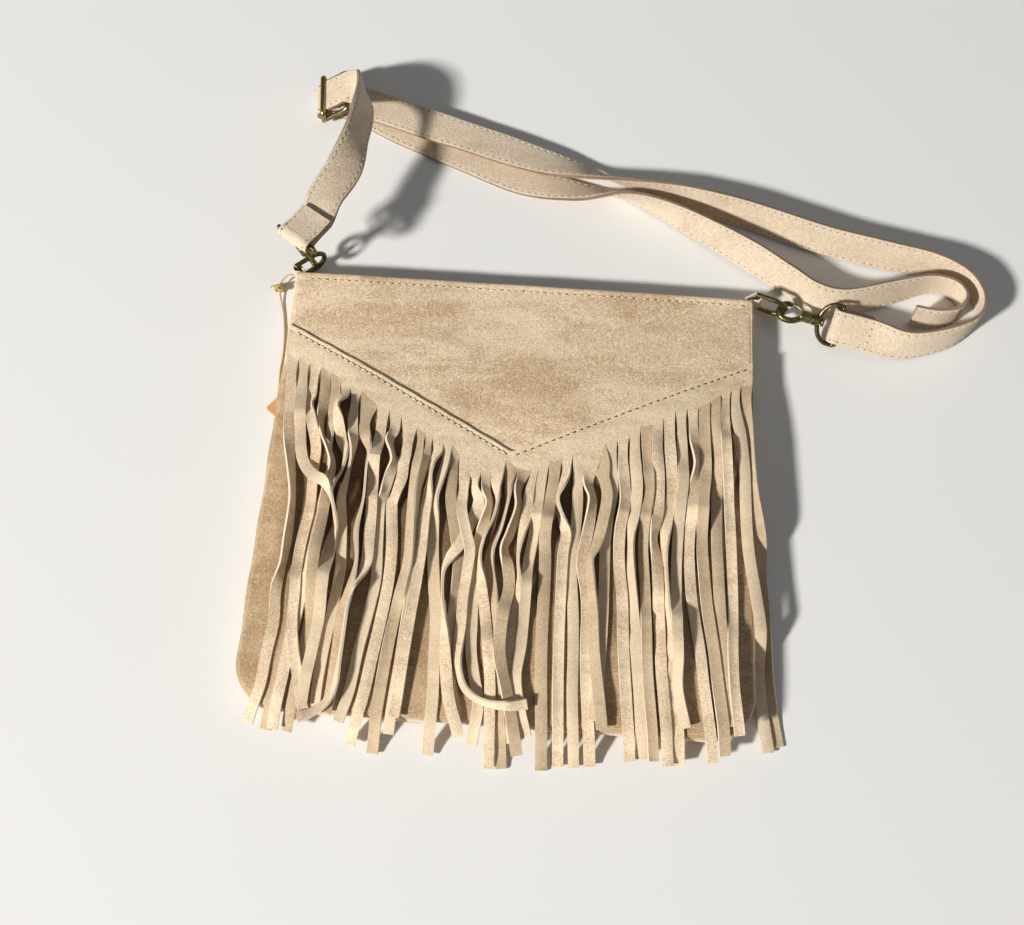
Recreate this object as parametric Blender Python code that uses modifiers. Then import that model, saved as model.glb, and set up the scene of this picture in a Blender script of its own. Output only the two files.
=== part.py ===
"""A fringed suede shoulder bag with a clip-on strap, lying on its back.

Metres, +Z up. X runs across the bag and +Y points to its mouth. The back panel
rests on z = 0. The origin lies under the point of the fringe's V seam.
"""

import bpy
import bmesh
from math import cos, hypot, pi, radians, sin, sqrt
from mathutils import Matrix, Vector

# Bag body
TOP_Y = 0.100
BOTTOM_Y = -0.146
TOP_HALF_WIDTH = 0.128
BOTTOM_HALF_WIDTH = 0.134
CORNER_RADIUS = 0.024
SUEDE = 0.0014
GAP = 0.0003
BACK_EDGE_RISE = 0.0035
BACK_FLAT_FROM = 0.034
FRONT_EDGE_Z = 0.0153
FRONT_CROWN = 0.0070
MOUTH_CROWN = 0.0008
CROWN_REACH = 0.060
MOUTH_REACH = 0.090
GUSSET_SUEDE = 0.0012
GUSSET_INSET = 0.0006

# Fringe layer
V_LEFT_Y = 0.067
V_RIGHT_Y = 0.061
V_APEX_Y = -0.003
BAND_DEPTH = 0.015
STRIP_COUNT = 42
STRIP_NARROWING = 0.0006
FRINGE_SUEDE = 0.0013
FRINGE_GAP = 0.0009
FRINGE_LIE = SUEDE * 1.12 + FRINGE_GAP
FRINGE_LEFT_END_X = -0.131
FRINGE_RIGHT_END_X = 0.149
FRINGE_END_Y = -0.166
FRINGE_SIDE_END_Y = -0.152
FRINGE_DROP_REACH = 0.022
FRINGE_EDGE_MARGIN = 0.006
STRIP_SEGMENT = 0.024
STRIP_SWAY = 0.0010
STRIP_LIFT = 0.0016
CUT_UNEVENNESS = 0.0025
STRIP_TURN = 2.35

# Zip
ZIP_END_INSET = 0.028
ZIP_HALF_LENGTH = TOP_HALF_WIDTH - ZIP_END_INSET
ZIP_SUNK = 0.007
ZIP_Y = TOP_Y - ZIP_SUNK
ZIP_Z = 0.0085
ZIP_SPLIT = 0.0016
TAPE = 0.0006
TAPE_SEAM = 0.013
TAPE_TURN = 0.0012
ROW_HEIGHT = 0.0014
ROW_DEPTH = 0.0020
TOOTH_PITCH = 0.0040
TOOTH_LENGTH = 0.0008
SLIDER_LENGTH = 0.0090
SLIDER_HEIGHT = 0.0080
SLIDER_PLATE = 0.0011
BAIL_WIRE = 0.0005
BAIL_SPAN = 0.0054
BAIL_RISE = 0.0022
PULL_LENGTH = 0.0240
PULL_WIDTH = 0.0064
PULL_THICKNESS = 0.0008
PULL_BAR = 0.0009
PULL_SLOT = 0.0030
PULL_SLOT_WIDTH = 0.0027
STOP_LENGTH = 0.0030

# Strap
STRAP_WIDTH = 0.020
STRAP = 0.0026
FOLD_LENGTH = 0.018
FOLD_TAPER = 0.009
SLIDER_FOLD_LENGTH = 0.011
SLIDER_LEAD = 0.014

# Rings, clips and slider, all of round brass rod
RING_WIRE = 0.0015
RING_HALF_WIDTH = 0.0075
RING_LEG = 0.0100
RING_Z = 0.0102
TAB_SUEDE = 0.0012
TAB_WIDTH = 0.0096
TAB_REACH = 0.015
TAB_STEP = 0.003
TAB_OUT = 0.0012
TAB_LEAN = 0.0004
EYE_WIRE = 0.0014
EYE_DEPTH = 0.0115
EYE_SLACK = 0.0004
EYE_SQUARENESS = 0.7
COLLAR_START = 0.0105
COLLAR_END = 0.0150
COLLAR_RADIUS = 0.0034
COLLAR_BORE = 0.0022
CUT_PAST = 0.002
SHANK_RADIUS = 0.0018
HEAD_RADIUS = 0.0029
HEAD_LENGTH = 0.0016
HOOK_BODY_END = 0.0215
HOOK_BODY_RADIUS = 0.0033
BOW_CENTRE = 0.0290
BOW_RADIUS = 0.0050
BOW_WIRE = 0.0019
GRIP = BOW_CENTRE + BOW_RADIUS - BOW_WIRE - RING_WIRE - GAP
GATE_HINGE = (0.0192, -0.0020)
GATE_WIRE = 0.0010
NOSE_BEFORE_CENTRE = 0.00175
GATE_SEAT = 0.00075
PIN_RADIUS = 0.0006
PIN_HOLE = 0.0008
PIN_HALF_LENGTH = 0.0024
SLOT_BACK = 0.0018
SLOT_AHEAD = 0.0040
SLOT_OVER = 0.0014
SLIDER_WIRE = 0.0015
SLIDER_HALF_LENGTH = 0.0127
SLIDER_SPREAD = 0.0189
SLIDER_CORNER = 0.0022
SLIDER_SLACK = 0.0004
SLIDER_TILT = radians(38)

# Swing tag and its cord
TAG_SIDE = 0.014
TAG_CORNER = (-0.1370, 0.0220)
TAG_ANGLE = radians(-38)
TAG_LEATHER = 0.0010
TAG_FLOOR = 0.0001
CORD_RADIUS = 0.0005
KNOT_RADIUS = 0.0024

# Places of the hardware, chosen from how the strap lies
RING_ABOVE_MOUTH = 0.003
RIGHT_RING_OUT = 0.003
LEFT_RING_OUT = 0.001
RIGHT_RING_BAR = (TOP_HALF_WIDTH + RIGHT_RING_OUT, TOP_Y + RING_ABOVE_MOUTH)
RIGHT_RING_DIRECTION = (0.95, -0.31)
LEFT_RING_BAR = (-TOP_HALF_WIDTH - LEFT_RING_OUT, TOP_Y + RING_ABOVE_MOUTH)
LEFT_RING_DIRECTION = (0.78, 0.63)
RIGHT_CLIP_DIRECTION = (-0.97, 0.24, 0.0)
LEFT_CLIP_DIRECTION = (0.12, 0.12, -0.98)
LEFT_GRIP_ALONG_LEG = 0.0090
RIGHT_EYE_BAR = (0.17, 0.69, 0.70)
LEFT_EYE_BAR = (-0.85, 0.53, 0.0)
SLIDER_FROM_RING = (0.0015, 0.1160, 0.0052)
SLIDER_BAR_DIRECTION = (-0.10, 0.995, 0.0)

WELD = 0.00001
UP = Vector((0, 0, 1))

FINISHES = {
    "suede": ((0.72, 0.51, 0.31, 1), 0.95, 0.0),
    "fringe": ((0.68, 0.50, 0.32, 1), 0.95, 0.0),
    "strap": ((0.75, 0.57, 0.38, 1), 0.95, 0.0),
    "brass": ((0.23, 0.19, 0.08, 1), 0.45, 1.0),
    "tape": ((0.30, 0.21, 0.12, 1), 0.90, 0.0),
    "leather": ((0.68, 0.36, 0.16, 1), 0.60, 0.0),
    "cord": ((0.60, 0.38, 0.14, 1), 0.85, 0.0),
}


def clear_scene():
    for thing in list(bpy.data.objects):
        bpy.data.objects.remove(thing, do_unlink=True)


def new_collection(name):
    group = bpy.data.collections.new(name)
    bpy.context.scene.collection.children.link(group)
    return group


def finish(name, kind):
    colour, roughness, metallic = FINISHES[kind]
    material = bpy.data.materials.new(name + "_" + kind)
    material.use_nodes = True
    shader = material.node_tree.nodes["Principled BSDF"]
    shader.inputs["Base Color"].default_value = colour
    shader.inputs["Roughness"].default_value = roughness
    shader.inputs["Metallic"].default_value = metallic
    return material


def place(thing, kind, group):
    """Give an object its finish and put it in one collection only."""
    thing.data.materials.clear()
    thing.data.materials.append(finish(thing.name, kind))
    for holder in list(thing.users_collection):
        holder.objects.unlink(thing)
    group.objects.link(thing)
    return thing


def solidify(thing, thickness, offset):
    wall = thing.modifiers.new("wall", "SOLIDIFY")
    wall.thickness = thickness
    wall.offset = offset
    return thing


def sheet(name, rows, thickness, offset, kind):
    """A thin piece: a grid of points given a wall. offset 1 grows it along its normals."""
    shape = bmesh.new()
    grid = [[shape.verts.new(point) for point in row] for row in rows]
    for upper, lower in zip(grid, grid[1:]):
        for column in range(len(upper) - 1):
            shape.faces.new((upper[column], lower[column], lower[column + 1], upper[column + 1]))
    mesh = bpy.data.meshes.new(name)
    shape.to_mesh(mesh)
    shape.free()
    thing = bpy.data.objects.new(name, mesh)
    place(thing, kind, BAG)
    return solidify(thing, thickness, offset)


def tube(name, points, radius, kind, closed=False, sizes=None, sides=2, group=None):
    """Round rod along a line of points."""
    curve = bpy.data.curves.new(name, "CURVE")
    curve.dimensions = "3D"
    curve.bevel_depth = radius
    curve.bevel_resolution = sides
    curve.use_fill_caps = not closed
    line = curve.splines.new("POLY")
    line.points.add(len(points) - 1)
    for index, point in enumerate(points):
        line.points[index].co = (*point, 1)
        line.points[index].radius = sizes[index] if sizes else 1
    line.use_cyclic_u = closed
    return place(bpy.data.objects.new(name, curve), kind, group or BAG)


def as_mesh(thing):
    """Turn a tube into a closed mesh that can be cut or joined."""
    bpy.context.view_layer.update()
    graph = bpy.context.evaluated_depsgraph_get()
    mesh = bpy.data.meshes.new_from_object(thing.evaluated_get(graph))
    shape = bmesh.new()
    shape.from_mesh(mesh)
    bmesh.ops.remove_doubles(shape, verts=shape.verts, dist=WELD)
    bmesh.ops.recalc_face_normals(shape, faces=shape.faces)
    shape.to_mesh(mesh)
    shape.free()
    name, world, group = thing.name, thing.matrix_world.copy(), thing.users_collection[0]
    material = thing.data.materials[0]
    bpy.data.objects.remove(thing, do_unlink=True)
    solid = bpy.data.objects.new(name, mesh)
    solid.matrix_world = world
    solid.data.materials.clear()
    solid.data.materials.append(material)
    group.objects.link(solid)
    return solid


def rod(name, start, end, radius, group, kind="brass", sides=16):
    """A straight cylinder between two points."""
    start, end = Vector(start), Vector(end)
    axis = end - start
    turn = UP.rotation_difference(axis).to_matrix().to_4x4()
    bpy.ops.mesh.primitive_cylinder_add(vertices=sides, radius=radius, depth=axis.length)
    thing = bpy.context.object
    thing.name = name
    thing.matrix_world = Matrix.Translation((start + end) / 2) @ turn
    return place(thing, kind, group)


def box(name, low, high, kind, group=None):
    """An upright block between two corners."""
    low, high = Vector(low), Vector(high)
    bpy.ops.mesh.primitive_cube_add(size=1)
    thing = bpy.context.object
    thing.name = name
    thing.data.transform(Matrix.Diagonal((*(high - low), 1)))
    thing.location = (low + high) / 2
    return place(thing, kind, group or BAG)


def combine(target, tool, operation):
    """Join a piece to another, or cut it with another."""
    change = target.modifiers.new(operation.lower() + "_" + tool.name, "BOOLEAN")
    change.operation = operation
    change.solver = "EXACT"
    change.object = tool
    tool.hide_render = True
    tool.display_type = "WIRE"


def unit(vector):
    return Vector(vector).normalized()


def across(vector, axis):
    """The part of a direction that is square to an axis, at length 1."""
    vector, axis = Vector(vector), unit(axis)
    return (vector - axis * vector.dot(axis)).normalized()


def smooth(points, steps):
    """A smooth line through points, with the same number of steps in each span."""
    points = [Vector(point) for point in points]
    ends = [points[0] * 2 - points[1], *points, points[-1] * 2 - points[-2]]
    line = []
    for a, b, c, d in zip(ends, ends[1:], ends[2:], ends[3:]):
        for step in range(steps):
            t = step / steps
            line.append(((b * 2) + (c - a) * t + (a * 2 - b * 5 + c * 4 - d) * t * t
                         + (b * 3 - a - c * 3 + d) * t ** 3) / 2)
    line.append(points[-1])
    return line


def ribbon(name, route, edges, width, thickness, kind):
    """A flat band along a route. edges gives the direction of its width at each point."""
    rows = []
    for index, point in enumerate(route):
        before = route[max(index - 1, 0)]
        after = route[min(index + 1, len(route) - 1)]
        side = across(edges[index], after - before) * (width / 2)
        rows.append((point - side, point + side))
    return sheet(name, rows, thickness, 0, kind)


def bar_loop(bar, away, fold_side, radius, thickness, fold_length):
    """Points of a band that is folded round a bar: down the fold, round the bar and back out."""
    half = (thickness + GAP) / 2
    away, fold_side = unit(away), unit(fold_side)
    points = [bar + away * fold_length + fold_side * half, bar + away * FOLD_TAPER + fold_side * half]
    for step in range(9):
        angle = pi * step / 8
        points.append(bar + fold_side * radius * cos(angle) - away * radius * sin(angle))
    points.append(bar + away * FOLD_TAPER - fold_side * half)
    points.append(bar + away * fold_length - fold_side * half)
    return points


# Body surfaces

def half_width(y):
    share = (TOP_Y - y) / (TOP_Y - BOTTOM_Y)
    return TOP_HALF_WIDTH + (BOTTOM_HALF_WIDTH - TOP_HALF_WIDTH) * share


def outline_half_width(y, inset=0.0):
    """Half the width at a height, with the rounded lower corners taken off."""
    radius = CORNER_RADIUS - inset
    into_corner = radius - (y - BOTTOM_Y - inset)
    width = half_width(y) - inset
    if into_corner <= 0:
        return width
    return width - radius + sqrt(max(radius ** 2 - into_corner ** 2, 0))


def edge_distance(x, y):
    """How far a point lies inside the sewn edge, which runs down the sides and along the bottom."""
    side = half_width(y) - abs(x)
    bottom = y - BOTTOM_Y
    if side < CORNER_RADIUS and bottom < CORNER_RADIUS:
        return CORNER_RADIUS - hypot(CORNER_RADIUS - side, CORNER_RADIUS - bottom)
    return min(side, bottom)


def ease(share):
    share = min(max(share, 0), 1)
    return share * share * (3 - 2 * share)


def front_inner(x, y):
    inside = min(max(edge_distance(x, y) / CROWN_REACH, 0), 1)
    crown = MOUTH_CROWN + (FRONT_CROWN - MOUTH_CROWN) * ease((TOP_Y - y) / MOUTH_REACH)
    return FRONT_EDGE_Z + crown * (1 - (1 - inside) ** 2)


def back_outer(x, y):
    outside = 1 - min(max(edge_distance(x, y) / BACK_FLAT_FROM, 0), 1)
    return BACK_EDGE_RISE * outside ** 2


def body_rows():
    """Heights of the panels' grid lines, closer together round the lower corners."""
    straight = [TOP_Y + (BOTTOM_Y + CORNER_RADIUS - TOP_Y) * step / 11 for step in range(12)]
    curved = [BOTTOM_Y + CORNER_RADIUS * (1 - sin(pi / 2 * step / 4)) for step in range(1, 5)]
    return straight + curved


COLUMNS = (-1, -0.96, -0.90, -0.82, -0.70, -0.5, -0.25, 0, 0.25, 0.5, 0.70, 0.82, 0.90, 0.96, 1)


def panel(name, height):
    rows = [[(share * outline_half_width(y), y, height(share * outline_half_width(y), y))
             for share in COLUMNS] for y in body_rows()]
    return sheet(name, rows, SUEDE, 1, "suede")


def gusset():
    """The narrow wall sewn between the panels, from one end of the mouth round to the other."""
    inset = GUSSET_INSET + GUSSET_SUEDE
    radius = CORNER_RADIUS - inset
    down = [TOP_Y - GAP - step * 0.0445 for step in range(5)]
    right = [(half_width(y) - inset, y) for y in down]
    for step in range(6):
        angle = pi / 2 * step / 5
        y = BOTTOM_Y + inset + radius * (1 - sin(angle))
        right.append((half_width(y) - inset - radius * (1 - cos(angle)), y))
    line = right + [(-x, y) for x, y in reversed(right)]
    low = BACK_EDGE_RISE + SUEDE + GAP
    high = FRONT_EDGE_Z - GAP
    rows = [[(x, y, z) for z in (high, (low + high) / 2, low)] for x, y in line]
    return sheet("gusset", rows, GUSSET_SUEDE, 1, "suede")


# Fringe layer

def v_edge(x):
    end = V_RIGHT_Y if x > 0 else V_LEFT_Y
    return V_APEX_Y + (end - V_APEX_Y) * abs(x) / half_width(end)


def fringe_under(x, y):
    """Height of the fringe's underside: it lies on the front and drops past its edges."""
    distance = edge_distance(x, y)
    resting = front_inner(x, y) + FRINGE_LIE
    past = max(-distance - FRINGE_EDGE_MARGIN, 0)
    return FRINGE_SUEDE + (resting - FRINGE_SUEDE) * (1 - ease(past / FRINGE_DROP_REACH))


def strip_end(share):
    """Height of a strip's cut end: the row of ends bows down towards the middle."""
    middle = 1 - abs(2 * share - 1) ** 3
    return FRINGE_SIDE_END_Y + (FRINGE_END_Y - FRINGE_SIDE_END_Y) * middle


def strip_middle(start_x, end_x, fallen):
    """Where a strip's middle line runs: from its slits to its end, with a slight sway."""
    return (start_x + (end_x - start_x) * fallen
            + STRIP_SWAY * sin(pi * fallen) * sin(2 * pi * (1.5 * fallen + 5 * start_x)))


def fringe_panel():
    """A band along the V, slit below into strips that hang past the bottom edge."""
    shape = bmesh.new()
    top_half = half_width(V_LEFT_Y)
    spacing = 2 * top_half / STRIP_COUNT
    half = (spacing - STRIP_NARROWING) / 2
    bend = BOTTOM_Y - FRINGE_EDGE_MARGIN
    cuts = [-top_half + spacing * index for index in range(STRIP_COUNT + 1)]
    band = []
    for depth in (0, BAND_DEPTH / 2, BAND_DEPTH):
        band.append([shape.verts.new((x, v_edge(x) - depth, fringe_under(x, v_edge(x) - depth)))
                     for x in cuts])
    for upper, lower in zip(band, band[1:]):
        for index in range(STRIP_COUNT):
            shape.faces.new((upper[index], lower[index], lower[index + 1], upper[index + 1]))
    for index in range(STRIP_COUNT):
        share = (index + 0.5) / STRIP_COUNT
        end_x = FRINGE_LEFT_END_X + (FRINGE_RIGHT_END_X - FRINGE_LEFT_END_X) * share
        end_y = strip_end(share) + CUT_UNEVENNESS * sin(index * STRIP_TURN)
        left, right = band[-1][index], band[-1][index + 1]
        start_x = (left.co.x + right.co.x) / 2
        starts = left.co.y, right.co.y
        steps = max(2, round((max(starts) - bend) / STRIP_SEGMENT))
        for stop in [step / steps for step in range(1, steps + 1)] + [1.5, 2.0]:
            on_body, past = min(stop, 1), max(stop - 1, 0)
            heights = [start_y + (bend - start_y) * on_body + (end_y - bend) * past for start_y in starts]
            fallen = (starts[0] - heights[0]) / (starts[0] - end_y)
            centre = strip_middle(start_x, end_x, fallen)
            lift = STRIP_LIFT * sin(pi * fallen) * (0.5 + 0.5 * sin(index * STRIP_TURN))
            lower = []
            for x, y in zip((centre - half, centre + half), heights):
                lower.append(shape.verts.new((x, y, fringe_under(x, y) + lift)))
            shape.faces.new((left, lower[0], lower[1], right))
            left, right = lower
    mesh = bpy.data.meshes.new("fringe_panel")
    shape.to_mesh(mesh)
    shape.free()
    thing = bpy.data.objects.new("fringe_panel", mesh)
    place(thing, "fringe", BAG)
    return solidify(thing, FRINGE_SUEDE, 1)


# Zip across the mouth

def zip_tape(name, wall_z, row_z):
    """A tape sewn along a panel and turned square across the mouth to its row of teeth."""
    turn = TAPE_TURN if wall_z > row_z else -TAPE_TURN
    profile = [(ZIP_Y - TAPE_SEAM, wall_z), (ZIP_Y - TAPE_TURN, wall_z),
               (ZIP_Y, wall_z - turn), (ZIP_Y, row_z)]
    rows = [[(x, y, z) for y, z in profile]
            for x in (-ZIP_HALF_LENGTH, -ZIP_HALF_LENGTH / 2, 0, ZIP_HALF_LENGTH / 2, ZIP_HALF_LENGTH)]
    return sheet(name, rows, TAPE, 0, "tape")


def zip_row(name, side):
    """One row of teeth: a comb outline given its depth."""
    back = ZIP_Z + side * (ZIP_SPLIT / 2 + TOOTH_LENGTH + ROW_HEIGHT)
    root = ZIP_Z + side * (ZIP_SPLIT / 2 + TOOTH_LENGTH)
    tip = ZIP_Z + side * ZIP_SPLIT / 2
    outline = [(-ZIP_HALF_LENGTH, back), (-ZIP_HALF_LENGTH, root)]
    for index in range(round(2 * ZIP_HALF_LENGTH / TOOTH_PITCH)):
        x = -ZIP_HALF_LENGTH + (index + 0.25) * TOOTH_PITCH
        outline += [(x, root), (x, tip), (x + TOOTH_PITCH / 2, tip), (x + TOOTH_PITCH / 2, root)]
    outline += [(ZIP_HALF_LENGTH, root), (ZIP_HALF_LENGTH, back)]
    curve = bpy.data.curves.new(name, "CURVE")
    curve.dimensions = "2D"
    curve.fill_mode = "BOTH"
    curve.extrude = ROW_DEPTH / 2
    line = curve.splines.new("POLY")
    line.points.add(len(outline) - 1)
    for point, (x, z) in zip(line.points, outline):
        point.co = (x, z, 0, 1)
    line.use_cyclic_u = True
    thing = bpy.data.objects.new(name, curve)
    thing.location = (0, ZIP_Y, 0)
    thing.rotation_euler = (pi / 2, 0, 0)
    return place(thing, "brass", BAG)


def zip_stop(name, side):
    near = side * (ZIP_HALF_LENGTH + GAP)
    far = near + side * STOP_LENGTH
    reach = ZIP_SPLIT / 2 + TOOTH_LENGTH + ROW_HEIGHT
    return box(name, (min(near, far), ZIP_Y - ROW_DEPTH / 2, ZIP_Z - reach),
               (max(near, far), ZIP_Y + ROW_DEPTH / 2, ZIP_Z + reach), "brass")


def zip_slider_x():
    return -ZIP_HALF_LENGTH + SLIDER_LENGTH / 2 + GAP


def zip_slider():
    """Two plates joined by a bridge that runs between the rows, with a bail for the pull."""
    x = zip_slider_x()
    near = ROW_DEPTH / 2 + GAP
    half = SLIDER_LENGTH / 2, SLIDER_HEIGHT / 2
    body = box("zip_slider", (x - half[0], ZIP_Y + near, ZIP_Z - half[1]),
               (x + half[0], ZIP_Y + near + SLIDER_PLATE, ZIP_Z + half[1]), "brass")
    inner = box("slider_inner_plate", (x - half[0], ZIP_Y - near - SLIDER_PLATE, ZIP_Z - half[1]),
                (x + half[0], ZIP_Y - near, ZIP_Z + half[1]), "brass", TOOLS)
    bridge_half = ZIP_SPLIT / 2 - GAP
    bridge = box("slider_bridge", (x - half[0], ZIP_Y - near - SLIDER_PLATE / 2, ZIP_Z - bridge_half),
                 (x - half[0] / 3, ZIP_Y + near + SLIDER_PLATE / 2, ZIP_Z + bridge_half), "brass", TOOLS)
    foot = ZIP_Y + near + SLIDER_PLATE / 2
    top = ZIP_Y + near + SLIDER_PLATE + BAIL_RISE
    span = BAIL_SPAN / 2
    arch = [(x - span, foot, ZIP_Z), (x - span, top - span / 2, ZIP_Z), (x - span / 2, top, ZIP_Z),
            (x + span / 2, top, ZIP_Z), (x + span, top - span / 2, ZIP_Z), (x + span, foot, ZIP_Z)]
    bail = as_mesh(tube("slider_bail", arch, BAIL_WIRE, "brass", group=TOOLS))
    for piece in (bridge, inner, bail):
        combine(body, piece, "UNION")
    return body


def pull_axis():
    """The line that the pull swings about, through its end bar under the bail."""
    face = ZIP_Y + ROW_DEPTH / 2 + GAP + SLIDER_PLATE
    return Vector((zip_slider_x(), face + GAP + PULL_THICKNESS / 2, ZIP_Z))


def zip_pull():
    """A flat tongue with a slot at one end; the bail passes through the slot."""
    half = PULL_WIDTH / 2
    bar = PULL_BAR / 2
    slot = PULL_SLOT_WIDTH / 2
    outline = [(-bar, -half), (PULL_LENGTH - half, -half)]
    outline += [(PULL_LENGTH - half + half * sin(pi * step / 8), -half * cos(pi * step / 8))
                for step in range(1, 8)]
    outline += [(PULL_LENGTH - half, half), (-bar, half)]
    window = [(bar, -slot), (bar, slot), (bar + PULL_SLOT, slot), (bar + PULL_SLOT, -slot)]
    curve = bpy.data.curves.new("zip_pull", "CURVE")
    curve.dimensions = "2D"
    curve.fill_mode = "BOTH"
    curve.extrude = PULL_THICKNESS / 2
    for ring in (outline, window):
        line = curve.splines.new("POLY")
        line.points.add(len(ring) - 1)
        for point, (x, y) in zip(line.points, ring):
            point.co = (x, y, 0, 1)
        line.use_cyclic_u = True
    thing = bpy.data.objects.new("zip_pull", curve)
    thing.location = pull_axis()
    thing.rotation_euler = (pi / 2, 0, 0)
    return place(thing, "brass", BAG)


# Rings and their tabs

def ring(name, bar, direction):
    """A D ring that stands on edge, with its straight bar upright in the tab."""
    direction = unit((*direction, 0))
    centre = Vector((*bar, RING_Z))
    points = [centre - UP * RING_HALF_WIDTH, centre + UP * RING_HALF_WIDTH]
    for step in range(11):
        angle = pi / 2 - pi * step / 10
        points.append(centre + direction * (RING_LEG + RING_HALF_WIDTH * cos(angle))
                      + UP * RING_HALF_WIDTH * sin(angle))
    return tube(name, points, RING_WIRE, "brass", closed=True)


def ring_tab(name, bar, side):
    """A folded strip that holds the ring's bar and is sewn inside the end of the mouth."""
    radius = RING_WIRE + GAP + TAB_SUEDE / 2
    half = (TAB_SUEDE + GAP) / 2
    inside = side * (half_width(TOP_Y) - GUSSET_INSET - GUSSET_SUEDE - GAP - TAB_SUEDE / 2 - half)
    mouth = Vector((inside + side * TAB_LEAN, TOP_Y + TAB_OUT, RING_Z))
    deep = Vector((inside, TOP_Y - TAB_STEP, RING_Z))
    end = Vector((inside, TOP_Y - TAB_REACH, RING_Z))
    bar = Vector((*bar, RING_Z))
    away = unit(mouth - bar)
    outward = UP.cross(away) * side
    line = [end, deep, mouth]
    outer = [point + Vector((side * half, 0, 0)) for point in line]
    inner = [point - Vector((side * half, 0, 0)) for point in line]
    outer[2] = mouth - outward * half
    inner[2] = mouth + outward * half
    around = [bar - outward * radius * cos(pi * step / 8) - away * radius * sin(pi * step / 8)
              for step in range(9)]
    route = outer + around + list(reversed(inner))
    return ribbon(name, route, [UP] * len(route), TAB_WIDTH, TAB_SUEDE, "suede")


# Clips

def clip_point(frame, along, sideways=0.0, out=0.0):
    """A point of a clip: along its length, across its bow and out of the bow's plane."""
    origin, axis, bow, normal = frame
    return origin + axis * along + bow * sideways + normal * out


def eye(name, frame, bar):
    """The strap's loop with the collar that the hook turns in."""
    origin, axis = frame[0], frame[1]
    bar = across(bar, axis)
    half = STRAP_WIDTH / 2 + GAP + EYE_WIRE + EYE_SLACK
    points = [origin - bar * half, origin + bar * half]
    for step in range(1, 12):
        angle = pi * step / 12
        points.append(origin + bar * half * cos(angle) + axis * (EYE_DEPTH * sin(angle) ** EYE_SQUARENESS))
    loop = as_mesh(tube(name, points, EYE_WIRE, "brass", closed=True))
    start, end = origin + axis * COLLAR_START, origin + axis * COLLAR_END
    combine(loop, rod(name + "_collar", start, end, COLLAR_RADIUS, TOOLS), "UNION")
    combine(loop, rod(name + "_bore", start - axis * CUT_PAST, end + axis * CUT_PAST,
                      COLLAR_BORE, TOOLS), "DIFFERENCE")
    return loop


def hook(name, frame):
    """Shank with a riveted head, slotted body, and the bow that closes on the gate."""
    head = EYE_DEPTH - EYE_WIRE - 2 * GAP
    start = clip_point(frame, head - HEAD_LENGTH / 2)
    neck = clip_point(frame, COLLAR_END + GAP + SHANK_RADIUS)
    body = rod(name, start, neck, SHANK_RADIUS, BAG)
    rivet = rod(name + "_head", clip_point(frame, head - HEAD_LENGTH), clip_point(frame, head),
                HEAD_RADIUS, TOOLS)
    block = rod(name + "_block", clip_point(frame, COLLAR_END + GAP), clip_point(frame, HOOK_BODY_END),
                HOOK_BODY_RADIUS, TOOLS)
    arm = [clip_point(frame, HOOK_BODY_END - 0.003, 0.0008), clip_point(frame, HOOK_BODY_END, 0.0022),
           clip_point(frame, HOOK_BODY_END + 0.003, 0.0042),
           clip_point(frame, BOW_CENTRE - 0.002, BOW_RADIUS)]
    for step in range(10):
        angle = pi * step / 9
        arm.append(clip_point(frame, BOW_CENTRE + BOW_RADIUS * sin(angle), BOW_RADIUS * cos(angle)))
    arm.append(clip_point(frame, BOW_CENTRE - NOSE_BEFORE_CENTRE, -BOW_RADIUS))
    sizes = [1.0] * (len(arm) - 3) + [0.95, 0.85, 0.7]
    bow = as_mesh(tube(name + "_bow", arm, BOW_WIRE, "brass", sizes=sizes, group=TOOLS))
    for piece in (rivet, block, bow):
        combine(body, piece, "UNION")
    slot_half = GATE_WIRE + GAP
    origin, axis, side, normal = frame
    turn = Matrix((axis, side, normal)).transposed().to_4x4()
    slot = box(name + "_slot", (GATE_HINGE[0] - SLOT_BACK, -HOOK_BODY_RADIUS - CUT_PAST, -slot_half),
               (HOOK_BODY_END + SLOT_AHEAD, GATE_HINGE[1] + SLOT_OVER, slot_half), "brass", TOOLS)
    slot.matrix_world = Matrix.Translation(origin) @ turn @ Matrix.Translation(slot.location)
    combine(body, slot, "DIFFERENCE")
    past = HOOK_BODY_RADIUS + CUT_PAST
    hole = rod(name + "_pin_hole", clip_point(frame, *GATE_HINGE, -past),
               clip_point(frame, *GATE_HINGE, past), PIN_HOLE, TOOLS, sides=12)
    combine(body, hole, "DIFFERENCE")
    return body


def gate(name, frame):
    """The thin lever that shuts the bow, bored for its pin."""
    tip = BOW_CENTRE - NOSE_BEFORE_CENTRE - GATE_SEAT
    line = [(GATE_HINGE[0] - 0.0011, GATE_HINGE[1] + 0.0002), (GATE_HINGE[0], GATE_HINGE[1]),
            (GATE_HINGE[0] + 0.0024, -0.0036), (tip - 0.0018, -BOW_RADIUS), (tip, -BOW_RADIUS)]
    points = [clip_point(frame, *point) for point in line]
    body = as_mesh(tube(name, points, GATE_WIRE, "brass", sizes=[1, 1.1, 1, 0.9, 0.6]))
    past = GATE_WIRE + CUT_PAST
    hole = rod(name + "_bore", clip_point(frame, *GATE_HINGE, -past),
               clip_point(frame, *GATE_HINGE, past), PIN_HOLE, TOOLS, sides=12)
    combine(body, hole, "DIFFERENCE")
    return body


def gate_pin(name, frame):
    return rod(name, clip_point(frame, *GATE_HINGE, -PIN_HALF_LENGTH),
               clip_point(frame, *GATE_HINGE, PIN_HALF_LENGTH), PIN_RADIUS, BAG, sides=12)


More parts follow.
